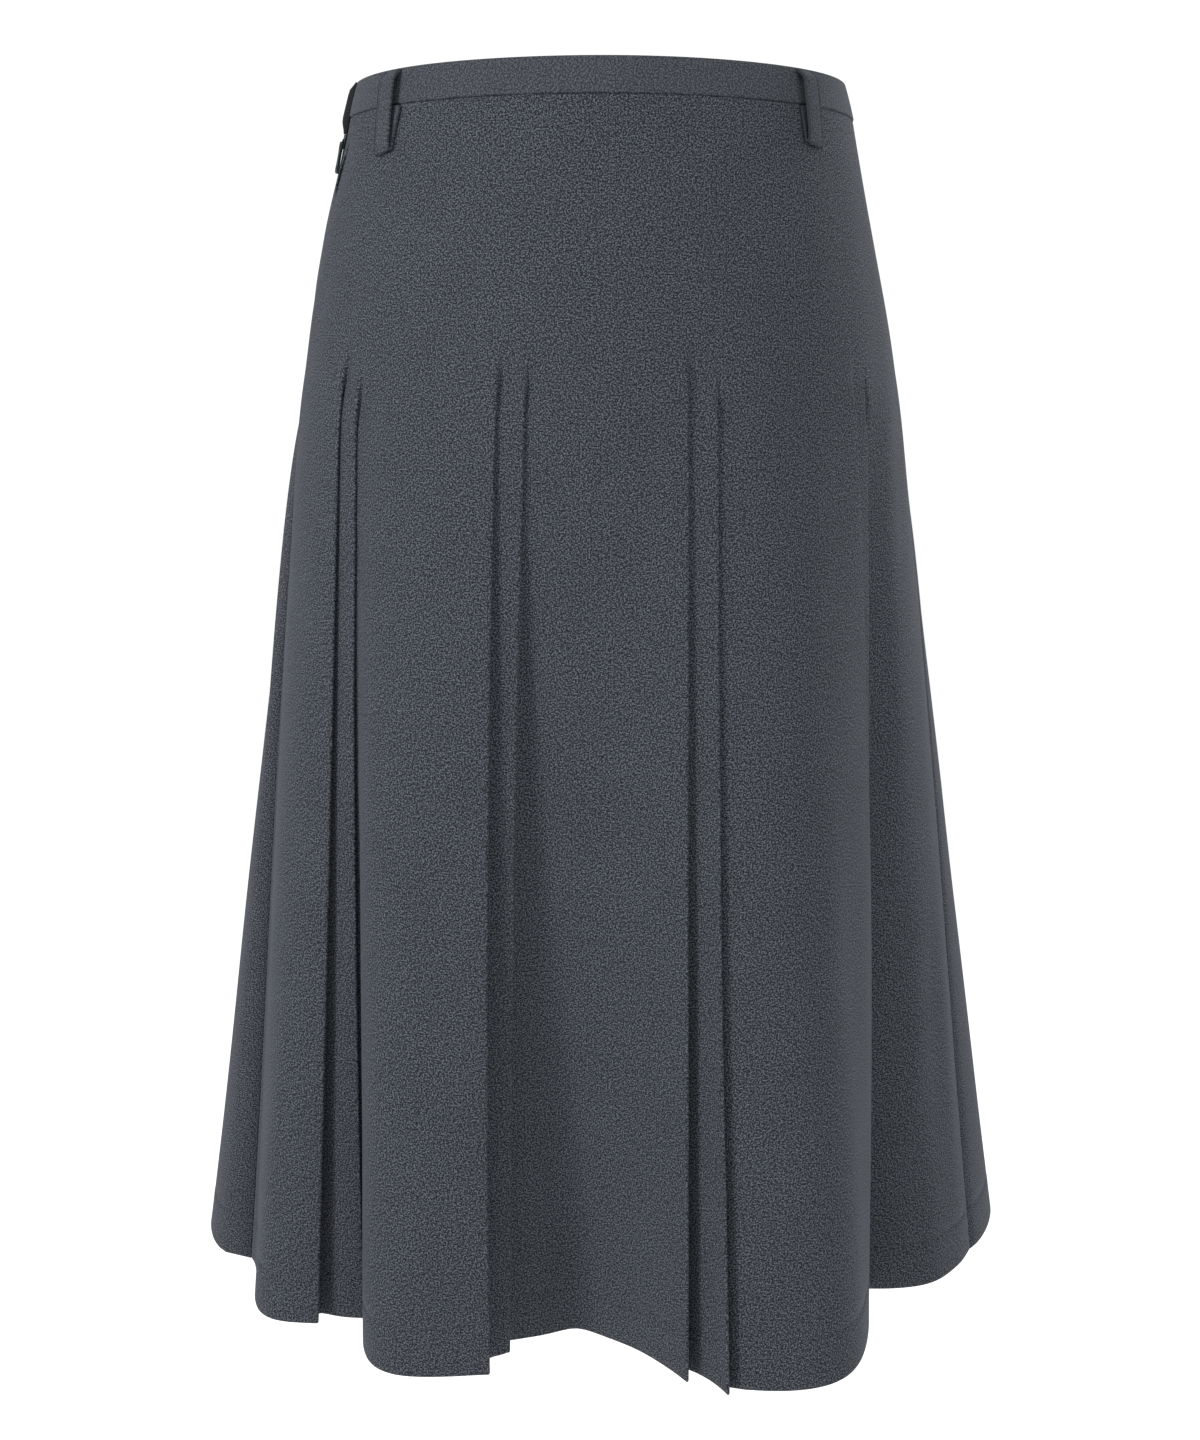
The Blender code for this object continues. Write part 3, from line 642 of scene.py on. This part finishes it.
def surface_group(name, **inputs):
    """A shader node group from a vector and named inputs to colour, roughness and height."""
    tree = bpy.data.node_groups.new(name, "ShaderNodeTree")
    tree.interface.new_socket("Vector", in_out="INPUT", socket_type="NodeSocketVector")
    for label, value in inputs.items():
        kind = "NodeSocketFloat" if isinstance(value, float) else "NodeSocketColor"
        socket = tree.interface.new_socket(label, in_out="INPUT", socket_type=kind)
        socket.default_value = value
    for label, kind in (("Colour", "Color"), ("Roughness", "Float"), ("Height", "Float")):
        tree.interface.new_socket(label, in_out="OUTPUT", socket_type="NodeSocket" + kind)
    writer = NodeWriter(tree)
    return tree, writer, writer.node("NodeGroupInput").outputs, writer.node("NodeGroupOutput")


# Marl twill: pale and dark fibres spun together, woven on a fine diagonal
marl, weave, given, result = surface_group("marl_twill", Dark=(0.03, 0.03, 0.04, 1.0), Twill=0.35,
                                           Middle=(0.07, 0.08, 0.09, 1.0),
                                           Pale=(0.14, 0.15, 0.17, 1.0))
cloth_place, twill = given["Vector"], given["Twill"]
warp = weave.noise(weave.stretch(cloth_place, (1350.0, 1050.0, 1.0)), 1.0, 1.0)
weft = weave.noise(weave.stretch(cloth_place, (1050.0, 1350.0, 1.0)), 1.0, 1.0)
wander = weave.math("MULTIPLY", weave.noise(cloth_place, 60.0), 9.0)
diagonal = weave.dot(cloth_place, (3300.0, 4300.0, 0.0))
wale = weave.math("MULTIPLY_ADD", weave.math("SINE", weave.math("ADD", diagonal, wander)), 0.5, 0.5)
fleck = weave.math("MAXIMUM", warp, weft)
speck = weave.math("MINIMUM", warp, weft)
shade = weave.blend(weave.ramp(fleck, 0.53, 0.61), given["Middle"], given["Pale"])
shade = weave.blend(weave.ramp(speck, 0.47, 0.39), shade, given["Dark"])
dip = weave.math("MULTIPLY", weave.math("SUBTRACT", 1.0, wale), twill)
shade = weave.blend(weave.math("MULTIPLY", dip, 0.8), shade, given["Dark"])
cloudy = weave.math("MULTIPLY_ADD", weave.noise(cloth_place, 22.0, 3.0), 0.22, 0.89)
patch = weave.node("ShaderNodeHueSaturation", {"Color": shade, "Value": cloudy})
threads = weave.math("MULTIPLY", weave.math("ADD", warp, weft), 0.5)
weave.feed(result, Colour=patch.outputs["Color"],
           Roughness=weave.math("MULTIPLY_ADD", fleck, 0.18, 0.72),
           Height=weave.math("ADD", weave.math("MULTIPLY", wale, twill), threads))


def cloth_material(name, dark, middle, pale, twill, sheen, bump, edge=None):
    """A cloth of marl twill in its own shades; beyond an edge, on one side, it is darker: a painted
    shadow.
    """
    made, writer, shader = new_material(name, Sheen_Weight=sheen, Sheen_Roughness=0.45,
                                        Sheen_Tint=(0.72, 0.80, 0.90, 1.0),
                                        Specular_IOR_Level=0.25)
    flat = writer.node("ShaderNodeUVMap", uv_map="cloth").outputs["UV"]
    values = {"Vector": flat, "Dark": (*dark, 1.0), "Middle": (*middle, 1.0),
              "Pale": (*pale, 1.0), "Twill": twill}
    twilled = writer.node("ShaderNodeGroup", values, node_tree=marl).outputs
    colour = twilled["Colour"]
    # Painted shadow: past the edge on one side of the cloth map, the colour goes towards the dark
    # shade, as a contact shadow along a strap's edge.
    if edge:
        side = writer.node("ShaderNodeSeparateXYZ", {"Vector": flat}).outputs["X"]
        turned = writer.ramp(side, -edge, -edge - 0.0005)
        colour = writer.blend(writer.math("MULTIPLY", turned, 0.85), colour, (*dark, 1.0))
    writer.feed(shader, Base_Color=colour, Roughness=twilled["Roughness"],
                Normal=writer.bump(twilled["Height"], bump, 0.0002))
    return made


wool = cloth_material("wool", (0.010, 0.011, 0.015), (0.036, 0.041, 0.051),
                      (0.138, 0.154, 0.180), 0.10, 0.14, 0.25)

front_half = Half(FRONT_PANELS, FRONT_PLEATS, FRONT_CREASES, left_hip, right_hip)
back_half = Half(BACK_PANELS, BACK_PLEATS, BACK_CREASES, right_hip, 360.0 + left_hip)
skirt_front = cloth_grid("front", cloth_rows(front_half, (left_gap, right_gap)), wool, CLOTH)
skirt_back = cloth_grid("back", cloth_rows(back_half, (right_gap, left_gap)), wool, CLOTH)
for piece, node in ((skirt_front, "skirt_front"), (skirt_back, "skirt_back")):
    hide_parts(node)


# ---------------------------------------------------------------- waistband
# A straight strip of the same cloth folded double over a stiffener, turned in and sewn to
# the skirt. The back strip runs on under the front one at the side opening.
BAND_WALL = 0.0022
TOP = (0.1425, 0.0970, 0.0970)      # the section at the band's top edge
# The band's shades are lighter than the skirt's wool: painted light, for the extra light that falls
# on the band.
BAND_PAINTED_LIGHT_SHADES = ((0.027, 0.030, 0.037), (0.053, 0.059, 0.071), (0.118, 0.131, 0.151))
band_wool_painted_light = cloth_material("band_wool_painted_light", *BAND_PAINTED_LIGHT_SHADES, 0.10, 0.16, 0.20)
UNDER_DEPTH = 0.0032      # how far in the underlap lies
UNDER_RUN = 7.0           # degrees over which the band steps inwards to it
UNDERLAP = 13.0           # degrees by which it passes under the front band
BAND_LEVELS = (-0.0001, -0.0012, -0.0035, -0.0070, -0.0105, -0.0140, -0.0170, -0.0186, -0.0194)


def band_point(angle, z, inset):
    """The middle of the waistband's cloth, moved inwards by inset."""
    section = [mix(a, b, -z / BAND) for a, b in zip(TOP, SEAM)]
    x, y = oval(section, angle)
    along = unit(oval(section, angle - 0.5), oval(section, angle + 0.5))
    return Vector((x - along[1] * inset, y + along[0] * inset, z))


def band_swell(angle, z):
    """Slight crown of the folded strip and the puckers of its seam."""
    share = -z / BAND
    crown = 0.0003 * math.sin(math.pi * share)
    pucker = 0.00010 * puckers(angle) * share ** 3
    return crown + pucker + 0.00025 * math.sin(0.11 * angle + 0.6) * (1.0 - share)


def soft_edge(item, width, segments, degrees):
    """Rounds the edges of a folded strip, where they are sharper than an angle."""
    edge = item.modifiers.new("edge", "BEVEL")
    edge.width = width
    edge.segments = segments
    edge.limit_method = "ANGLE"
    edge.angle_limit = math.radians(degrees)


def waistband(name, angles, insets):
    rows = [[band_point(angle, z, inset - band_swell(angle, z))
             for angle, inset in zip(angles, insets)] for z in BAND_LEVELS]
    item = cloth_grid(name, rows, band_wool_painted_light, BAND_WALL, weave_turned=True)
    soft_edge(item, 0.0008, 4, 60.0)
    return item


front_angles = spread(left_waist, right_waist, 170)
band_front = waistband("band_front", front_angles, [0.0] * len(front_angles))
opening = 360.0 + left_waist
back_angles = spread(right_waist, opening - UNDER_RUN, 180)
back_angles += spread(opening - 0.95 * UNDER_RUN, opening + UNDERLAP, 36)
back_insets = [UNDER_DEPTH * smooth((angle - opening + UNDER_RUN) / (0.9 * UNDER_RUN))
               for angle in back_angles]
band_back = waistband("band_back", back_angles, back_insets)
for piece, node, width in ((band_front, "waistband_front", 0.390),
                           (band_back, "waistband_back", 0.465)):
    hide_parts(node)


# ---------------------------------------------------------------- belt loops
# Narrow straps of the same cloth, folded to a double layer and stitched along both edges.
# Each is sewn at the band's top edge, turned back at its foot and caught in the seam.
# slant: tilt of the foot; lean: how far the layer that runs back up stands to one side
LOOP_COLUMNS = ("name", "angle", "drop", "slant", "lean")
LOOPS = (
    ("front_left", -51.8, 0.0450, 0.22, 0.0032),
    ("front_right", 51.0, 0.0412, -0.26, -0.0006),
    ("back_left", -140.0, 0.0430, 0.06, 0.0008),
    ("back_right", 140.0, 0.0440, -0.04, 0.0010),
)
LOOP_WIDTH = 0.0115
LOOP_CLOTH = 0.0015
LOOP_STAND_OFF = 0.0042   # how far the strap bows out from a straight run
LOOP_TURN_R = 0.0012
LOOP_GAP = 0.0005         # air between the strap and the cloth it lies on
LOOP_FOOT = 38            # step of the path where the strap has turned round its foot
LOOP_EDGE = 0.0015        # stitching, in from each side
STITCH = 0.0022           # length of one stitch
STITCH_GAP = 0.0006
STITCHED = 34             # steps of the path that are stitched
THREAD = 0.00042          # thickness of the thread
GROOVE = 0.0006           # half width of the dent along a row of stitches


def loop_path(angle, drop):
    """The strap's way down, round its foot and up again: distance out of the band, and level."""
    x0, y0, _ = band_point(angle, 0.0, 0.0)
    x1, y1, _ = band_point(angle, 0.0, -1.0)
    out = (x1 - x0, y1 - y0)
    top = oval(SEAM, angle)
    hip = oval(HIP, carried(angle if angle > left_waist else angle + 360.0, 1, 0))

    def cloth_out(z):
        share = (SKIRT_TOP - z) / (SKIRT_TOP - HIP_Z)
        x, y = (mix(a, b, share) for a, b in zip(top, hip))
        return (x - x0) * out[0] + (y - y0) * out[1]

    on_band = 0.5 * (BAND_WALL + LOOP_CLOTH) + LOOP_GAP
    on_cloth = 0.5 * (CLOTH + LOOP_CLOTH) + LOOP_GAP
    foot = -drop + LOOP_TURN_R + 0.5 * LOOP_CLOTH
    under = cloth_out(foot) + on_cloth
    path = []
    for step in range(26):
        t = 0.95 * (step / 25.0) ** 1.3
        stand_off = LOOP_STAND_OFF * smooth(t / 0.15) * (1.0 - t) ** 0.7
        path.append((mix(on_band, under + 2.0 * LOOP_TURN_R, t) + stand_off, mix(-0.0009, foot, t)))
    for step in range(13):
        a = math.pi * step / 12.0
        path.append((under + LOOP_TURN_R * (1.0 + math.cos(a)), foot - LOOP_TURN_R * math.sin(a)))
    for step in range(1, 11):
        z = mix(foot, SKIRT_TOP - 0.0007, step / 10.0)
        path.append((cloth_out(z) + on_cloth, z))
    return (x0, y0), out, path


def loop_place(loop, start, out, path, index, across, lift):
    """A point on the strap: step along its path, distance across it, height above its middle."""
    n, z = path[index]
    climb = max(0.0, (index - LOOP_FOOT) / (len(path) - 1 - LOOP_FOOT))
    tilt = loop["slant"] * across * clamp01(-z / 0.03) * (1.0 - climb)
    along = unit(path[max(0, index - 1)], path[min(len(path) - 1, index + 1)])
    n -= lift * along[1]
    z += lift * along[0] + tilt
    across += loop["lean"] * climb
    return Vector((start[0] + out[0] * n - out[1] * across,
                   start[1] + out[1] * n + out[0] * across, z))


def bead(form, middle, along, sizes):
    """A small rounded bead with its first half size along a direction."""
    turn = along.to_track_quat("X", "Z").to_matrix().to_4x4()
    matrix = Matrix.Translation(middle) @ turn @ Matrix.Diagonal((*sizes, 1.0))
    bmesh.ops.create_icosphere(form, subdivisions=1, radius=1.0, matrix=matrix)


def step_at(line, distance):
    """The step of a line of points that a distance along it falls in, and its share of it."""
    for a, b in zip(line, line[1:]):
        length = math.dist(a, b)
        if distance <= length:
            break
        distance -= length
    return a, b, distance / length


def stitch_row(form, line):
    """Stitches along a line of points."""
    place = 0.5 * STITCH_GAP
    while place + STITCH < sum(math.dist(a, b) for a, b in zip(line, line[1:])):
        a, b = (start.lerp(end, share) for start, end, share in
                (step_at(line, place), step_at(line, place + STITCH)))
        bead(form, 0.5 * (a + b), b - a, (0.5 * STITCH, 0.5 * THREAD, 0.5 * THREAD))
        place += STITCH + STITCH_GAP


def grained(name, scale, dark, pale, strength, distance, **constants):
    """A material of two shades in a fine grain that also stands up a little."""
    made, writer, shader = new_material(name, **constants)
    grain = writer.noise(writer.node("ShaderNodeTexCoord").outputs["Object"], scale, 3.0)
    writer.feed(shader, Base_Color=writer.blend(grain, (*dark, 1.0), (*pale, 1.0)),
                Normal=writer.bump(grain, strength, distance))
    return made


thread = grained("thread", 1800.0, (0.035, 0.040, 0.050), (0.085, 0.095, 0.112), 0.5, 0.0002,
                 Roughness=0.6, Sheen_Weight=0.2)
# The loops' cloth: the band's lighter shades (painted light) and a painted contact shadow along one
# edge of each strap.
loop_wool_painted_light_and_shadow = cloth_material("loop_wool_painted_light_and_shadow", *BAND_PAINTED_LIGHT_SHADES, 0.10, 0.16, 0.20, 0.5 * LOOP_WIDTH - 0.0009)
ACROSS = (-0.5, -0.46, -0.38, -0.28, -0.14, 0.0, 0.14, 0.28, 0.38, 0.46, 0.5)
for loop in table(LOOP_COLUMNS, LOOPS):
    start, out, path = loop_path(loop["angle"], loop["drop"])
    rows = []
    for index in range(len(path)):
        row = []
        for share in ACROSS:
            off = abs(abs(share * LOOP_WIDTH) - (0.5 * LOOP_WIDTH - LOOP_EDGE)) / GROOVE
            sunk = 0.00030 * math.exp(-off * off) - 0.00012 * smooth((abs(share) - 0.40) / 0.06)
            row.append(loop_place(loop, start, out, path, index, share * LOOP_WIDTH, -sunk))
        rows.append(row)
    strap = cloth_grid("loop_" + loop["name"], rows, loop_wool_painted_light_and_shadow, LOOP_CLOTH)
    soft_edge(strap, 0.0004, 3, 50.0)
    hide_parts("belt_loop_" + loop["name"])
    form = bmesh.new()
    for side in (-1.0, 1.0):
        across = side * (0.5 * LOOP_WIDTH - LOOP_EDGE)
        line = [loop_place(loop, start, out, path, index, across, 0.5 * LOOP_CLOTH - 0.00010)
                for index in range(STITCHED)]
        stitch_row(form, line)
    seams = object_from(form, "loop_" + loop["name"] + "_stitches", thread, "skirt")


# ---------------------------------------------------------------- zip
# A fine coil zip on dark woven tape, sewn behind the turned edges of the left side seam and
# closed, so only its slider and pull tab show at the top.
ZIP_END = -0.200
TAPE_HALF = 0.011
TAPE_WALL = 0.0006
TAPE_INSET = 0.0021       # behind the turned seam edges
SLIT_HALF = 0.0020        # half width of the tape's slit at the slider
SLIDER_Z = -0.0330
COIL_TOP = -0.0400        # where the slit ends and the coil starts
TAPE_LEVELS = [-0.0200, -0.0285] + [COIL_TOP - 0.0050 * step for step in range(33)]


def walk(points, distance, inset):
    """A point at a distance along a line of points, and inset to one side of it."""
    a, b, share = step_at(points, distance)
    along = unit(a, b)
    return mix(a[0], b[0], share) - along[1] * inset, mix(a[1], b[1], share) + along[0] * inset


def behind_seam(z, places):
    """Points behind the left seam at level z. Each place: distance towards the front, depth in."""
    ahead = [(x, y) for x, y, _ in front_half.section(z, 0.0, 0.0)]
    behind = [(x, y) for x, y, _ in reversed(back_half.section(z, 0.0, 0.0))]
    row = []
    for u, inset in places:
        x, y = walk(ahead, u, inset) if u > 0.0 else walk(behind, -u, -inset)
        row.append(Vector((x, y, z)))
    return row


tape_weave = cloth_material("tape_weave", (0.006, 0.007, 0.009), (0.016, 0.017, 0.022),
                            (0.030, 0.033, 0.040), 0.6, 0.06, 0.6)
tape_places = [(u, TAPE_INSET) for u in (-TAPE_HALF, -0.008, -0.005, -SLIT_HALF, SLIT_HALF,
                                         0.005, 0.008, TAPE_HALF)]
tape_rows = [behind_seam(z, tape_places) for z in TAPE_LEVELS]
zip_tape = cloth_grid("zip_tape", tape_rows, tape_weave, TAPE_WALL, skip=((1, 3),))
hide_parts("zip")

# The tape's end stands out of the opening, beside the end of the front band
END_PLACES = ((-0.35, -0.0020), (-0.8, 0.0004), (-1.7, 0.0019), (-2.6, 0.0025), (-3.5, 0.0019),
              (-4.3, 0.0006))
end_rows = []
for z in (-0.0004, -0.0020, -0.0040, -0.0070, -0.0110, -0.0150, -0.0190, -0.0215, -0.0240,
          -0.0262, -0.0282):
    below = max(0.0, SKIRT_TOP - z)
    full = mix(0.15, 1.0, smooth(-z / 0.005)) * mix(1.0, 0.35, smooth(below / 0.009))
    row = []
    for angle, stand in END_PLACES:
        angle, stand = END_PLACES[0][0] + (angle - END_PLACES[0][0]) * full, stand * full
        place = band_point(left_waist + angle, max(z, SKIRT_TOP), -0.5 * BAND_WALL - stand)
        row.append(Vector((place.x - 0.215 * below, place.y + 0.08 * below, z)))
    end_rows.append(row)
tape_end = cloth_grid("zip_tape_end", end_rows, tape_weave, TAPE_WALL)

coil_plastic = grained("coil_plastic", 900.0, (0.020, 0.022, 0.028), (0.045, 0.050, 0.060), 0.3,
                       0.0001, Roughness=0.38)
COIL_PITCH = 0.0012
COIL_SIDE = 0.00045       # how far each turn of the coil stands to its own side
COIL_ENDS = ((-0.0019, TAPE_INSET + 0.0008), (0.0019, TAPE_INSET + 0.0008))
form = bmesh.new()
for index in range(int((COIL_TOP - ZIP_END - 0.004) / COIL_PITCH)):
    near, far = behind_seam(COIL_TOP - COIL_PITCH * index, COIL_ENDS)
    shift = COIL_SIDE if index % 2 else -COIL_SIDE
    middle = 0.5 * (near + far) + shift * (far - near).normalized()
    bead(form, middle, far - near, (0.0015, 0.00055, 0.00042))
coil = object_from(form, "zip_coil", coil_plastic, "skirt")


# ---------------------------------------------------------------- zip slider and pull
# Die-cast slider with a bridge, and a flat pierced tab hung in it by its cross bar, both in
# dark lacquer with small scuffs to bare metal. The tab's end is painted lighter, as a highlight.
PLATE_TOP = 0.0018        # outer plate's top, from the middle of the cloth
EYE_HALF = 0.0016
BAR_R = 0.00055
TAB_LENGTH = 0.0172
TAB_WALL = 0.0016

(x, y), along, _ = front_half.frame(front_half.panels[0], 0.0, SLIDER_Z)
x_low, y_low = front_half.base(front_half.panels[0], 0.0, SLIDER_Z - 0.01)
x -= side_swell(x, SLIDER_Z)
x_low -= side_swell(x_low, SLIDER_Z - 0.01)
up = Vector((x - x_low, y - y_low, 0.01)).normalized()
outwards = up.cross(Vector((-along[0], -along[1], 0.0))).normalized()
across = outwards.cross(up)
slider_place = Matrix((across, outwards, up)).transposed().to_4x4()
slider_place.translation = Vector((x, y, SLIDER_Z))
bar_at = Vector((0.0, 0.5 * (PLATE_TOP + 0.0036), -EYE_HALF + 0.0003 + BAR_R))
tab_place = slider_place @ Matrix.Translation(bar_at)


def rounded_block(form, low, high, edge, narrow=1.0):
    """A block between two corners with rounded edges, narrowed towards its lower end."""
    made = bmesh.ops.create_cube(form, size=1.0)["verts"]
    for vert in made:
        across = vert.co.x * (narrow if vert.co.z < 0.0 else 1.0)
        corner = (across, vert.co.y, vert.co.z)
        vert.co = [mix(a, b, c + 0.5) for a, b, c in zip(low, high, corner)]
    edges = list({e for vert in made for e in vert.link_edges})
    bmesh.ops.bevel(form, geom=edges, offset=edge, affect="EDGES", segments=3, profile=0.5,
                    material=-1)


# Scuffed lacquer: random scuffs show the bare metal's colour; a gradient input widens them into a
# painted highlight.
scuff_and_glint_tree, marks, given, result = surface_group("lacquer_scuffs_and_glint", Lacquer=(0.006, 0.015, 0.016, 1.0),
                                           Metal=(0.13, 0.16, 0.16, 1.0), Worn=0.0)
scuff = marks.noise(marks.stretch(given["Vector"], (900.0, 900.0, 260.0)), 1.0, 4.0, 0.65)
tint = marks.blend(marks.noise(given["Vector"], 520.0, 3.0), given["Lacquer"],
                   (0.014, 0.034, 0.035, 1.0))
# Share of bare metal colour: the scuffs, plus the painted highlight's gradient.
bare_and_glint = marks.ramp(marks.math("MULTIPLY_ADD", given["Worn"], 0.24, scuff), 0.66, 0.80)
marks.feed(result, Colour=marks.blend(bare_and_glint, tint, given["Metal"]),
           Roughness=marks.math("MULTIPLY_ADD", scuff, 0.30, 0.14), Height=scuff)


def lacquer(name, glint_from=None, glint_to=None):
    """Dark lacquered metal with random scuffs; between two points a painted highlight grows from
    none to full.
    """
    made, writer, shader = new_material(name, Metallic=0.35, Coat_Weight=0.2, Coat_Roughness=0.2)
    spot = writer.node("ShaderNodeTexCoord").outputs["Object"]
    scuffs_and_glint = writer.node("ShaderNodeGroup", {"Vector": spot}, node_tree=scuff_and_glint_tree)
    if glint_from:
        line = glint_to - glint_from
        off = writer.node("ShaderNodeVectorMath", {0: spot, 1: glint_from}, operation="SUBTRACT")
        run = writer.dot(off.outputs[0], line / line.length_squared)
        writer.feed(scuffs_and_glint, Worn=writer.ramp(run, 0.0, 1.0))
    writer.feed(shader, Base_Color=scuffs_and_glint.outputs["Colour"], Roughness=scuffs_and_glint.outputs["Roughness"],
                Normal=writer.bump(scuffs_and_glint.outputs["Height"], 0.25, 0.0001))
    return made


form = bmesh.new()
rounded_block(form, (-0.0034, -0.0037, -0.0045), (0.0034, -0.0027, 0.0045), 0.0004, 0.78)
rounded_block(form, (-0.0008, -0.0033, -0.0030), (0.0008, 0.0014, 0.0030), 0.0002)
rounded_block(form, (-0.0025, 0.0010, -0.0040), (0.0025, PLATE_TOP, 0.0040), 0.00035, 0.80)
ring = bmesh.ops.create_circle(form, segments=10, radius=0.00062)["verts"]
bmesh.ops.translate(form, verts=ring, vec=(0.0, 0.00225, 0.0))
bmesh.ops.rotate(form, verts=ring, cent=(0.0, 0.0, 0.0),
                 matrix=Matrix.Rotation(math.pi / 2, 3, "X"))
hoop = list({e for vert in ring for e in vert.link_edges})
bmesh.ops.spin(form, geom=ring + hoop, cent=(0.0, 0.0, 0.0), axis=(1.0, 0.0, 0.0),
               angle=-math.pi, steps=14, dvec=(0.0, 0.0, 0.0))
bmesh.ops.transform(form, matrix=slider_place, verts=form.verts)
slider = object_from(form, "slider", lacquer("slider_lacquer"), "skirt")
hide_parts("zip_slider")

# Outline of the tab: share of its length from the bar, half width in millimetres
TAB_OUTLINE = ((-0.03, 1.70), (0.02, 2.15), (0.10, 2.30), (0.22, 2.20), (0.36, 1.75), (0.52, 1.70),
               (0.68, 1.95), (0.80, 2.25), (0.88, 2.30), (0.94, 2.10), (0.98, 1.55), (1.00, 0.80))


def tab_half(share):
    for (a, wide_a), (b, wide_b) in zip(TAB_OUTLINE, TAB_OUTLINE[1:]):
        if share <= b:
            return 0.001 * mix(wide_a, wide_b, smooth((share - a) / (b - a)))
    return 0.001 * TAB_OUTLINE[-1][1]


TAB_ROWS = 40
TAB_WINDOWS = ((0.015, 0.20), (0.78, 0.90))     # from and to, as shares of the tab's length
TAB_WINDOW_HALF = 0.55    # half width of a window, as a share of the tab's
form = bmesh.new()
bmesh.ops.create_grid(form, x_segments=6, y_segments=TAB_ROWS, size=0.5)
form.verts.index_update()
for vert in form.verts:
    row, column = divmod(vert.index, 7)
    share = mix(-0.03, 1.0, row / TAB_ROWS)
    vert.co = ((column / 3.0 - 1.0) * tab_half(share), 0.0, -share * TAB_LENGTH)
window = []
for face in form.faces:
    middle = face.calc_center_median()
    share = -middle.z / TAB_LENGTH
    inside = abs(middle.x) < TAB_WINDOW_HALF * tab_half(share)
    if inside and any(low < share < high for low, high in TAB_WINDOWS):
        window.append(face)
bmesh.ops.delete(form, geom=window, context="FACES")
bmesh.ops.solidify(form, geom=form.faces[:], thickness=TAB_WALL)
middle_y = sum(vert.co.y for vert in form.verts) / len(form.verts)
bmesh.ops.translate(form, verts=form.verts, vec=(0.0, -middle_y, 0.0))
rim = [e for e in form.edges if len(e.link_faces) == 2 and e.calc_face_angle(0.0) > 1.0]
bmesh.ops.bevel(form, geom=rim, offset=0.0002, affect="EDGES", segments=2, profile=0.5,
                material=-1)
bmesh.ops.create_cone(form, cap_ends=True, segments=20, radius1=BAR_R, radius2=BAR_R, depth=0.0042,
                      matrix=Matrix.Rotation(math.pi / 2, 4, "Y"))
bmesh.ops.recalc_face_normals(form, faces=form.faces)
bmesh.ops.transform(form, matrix=tab_place, verts=form.verts)
# Towards its lower end the tab gets the painted highlight.
tab_lacquer = lacquer("tab_lacquer", tab_place @ Vector((0.0, 0.0, -0.45 * TAB_LENGTH)),
                      tab_place @ Vector((0.0, 0.0, -TAB_LENGTH)))
tab = object_from(form, "pull_tab", tab_lacquer, "zip_pull")
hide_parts("zip_pull")
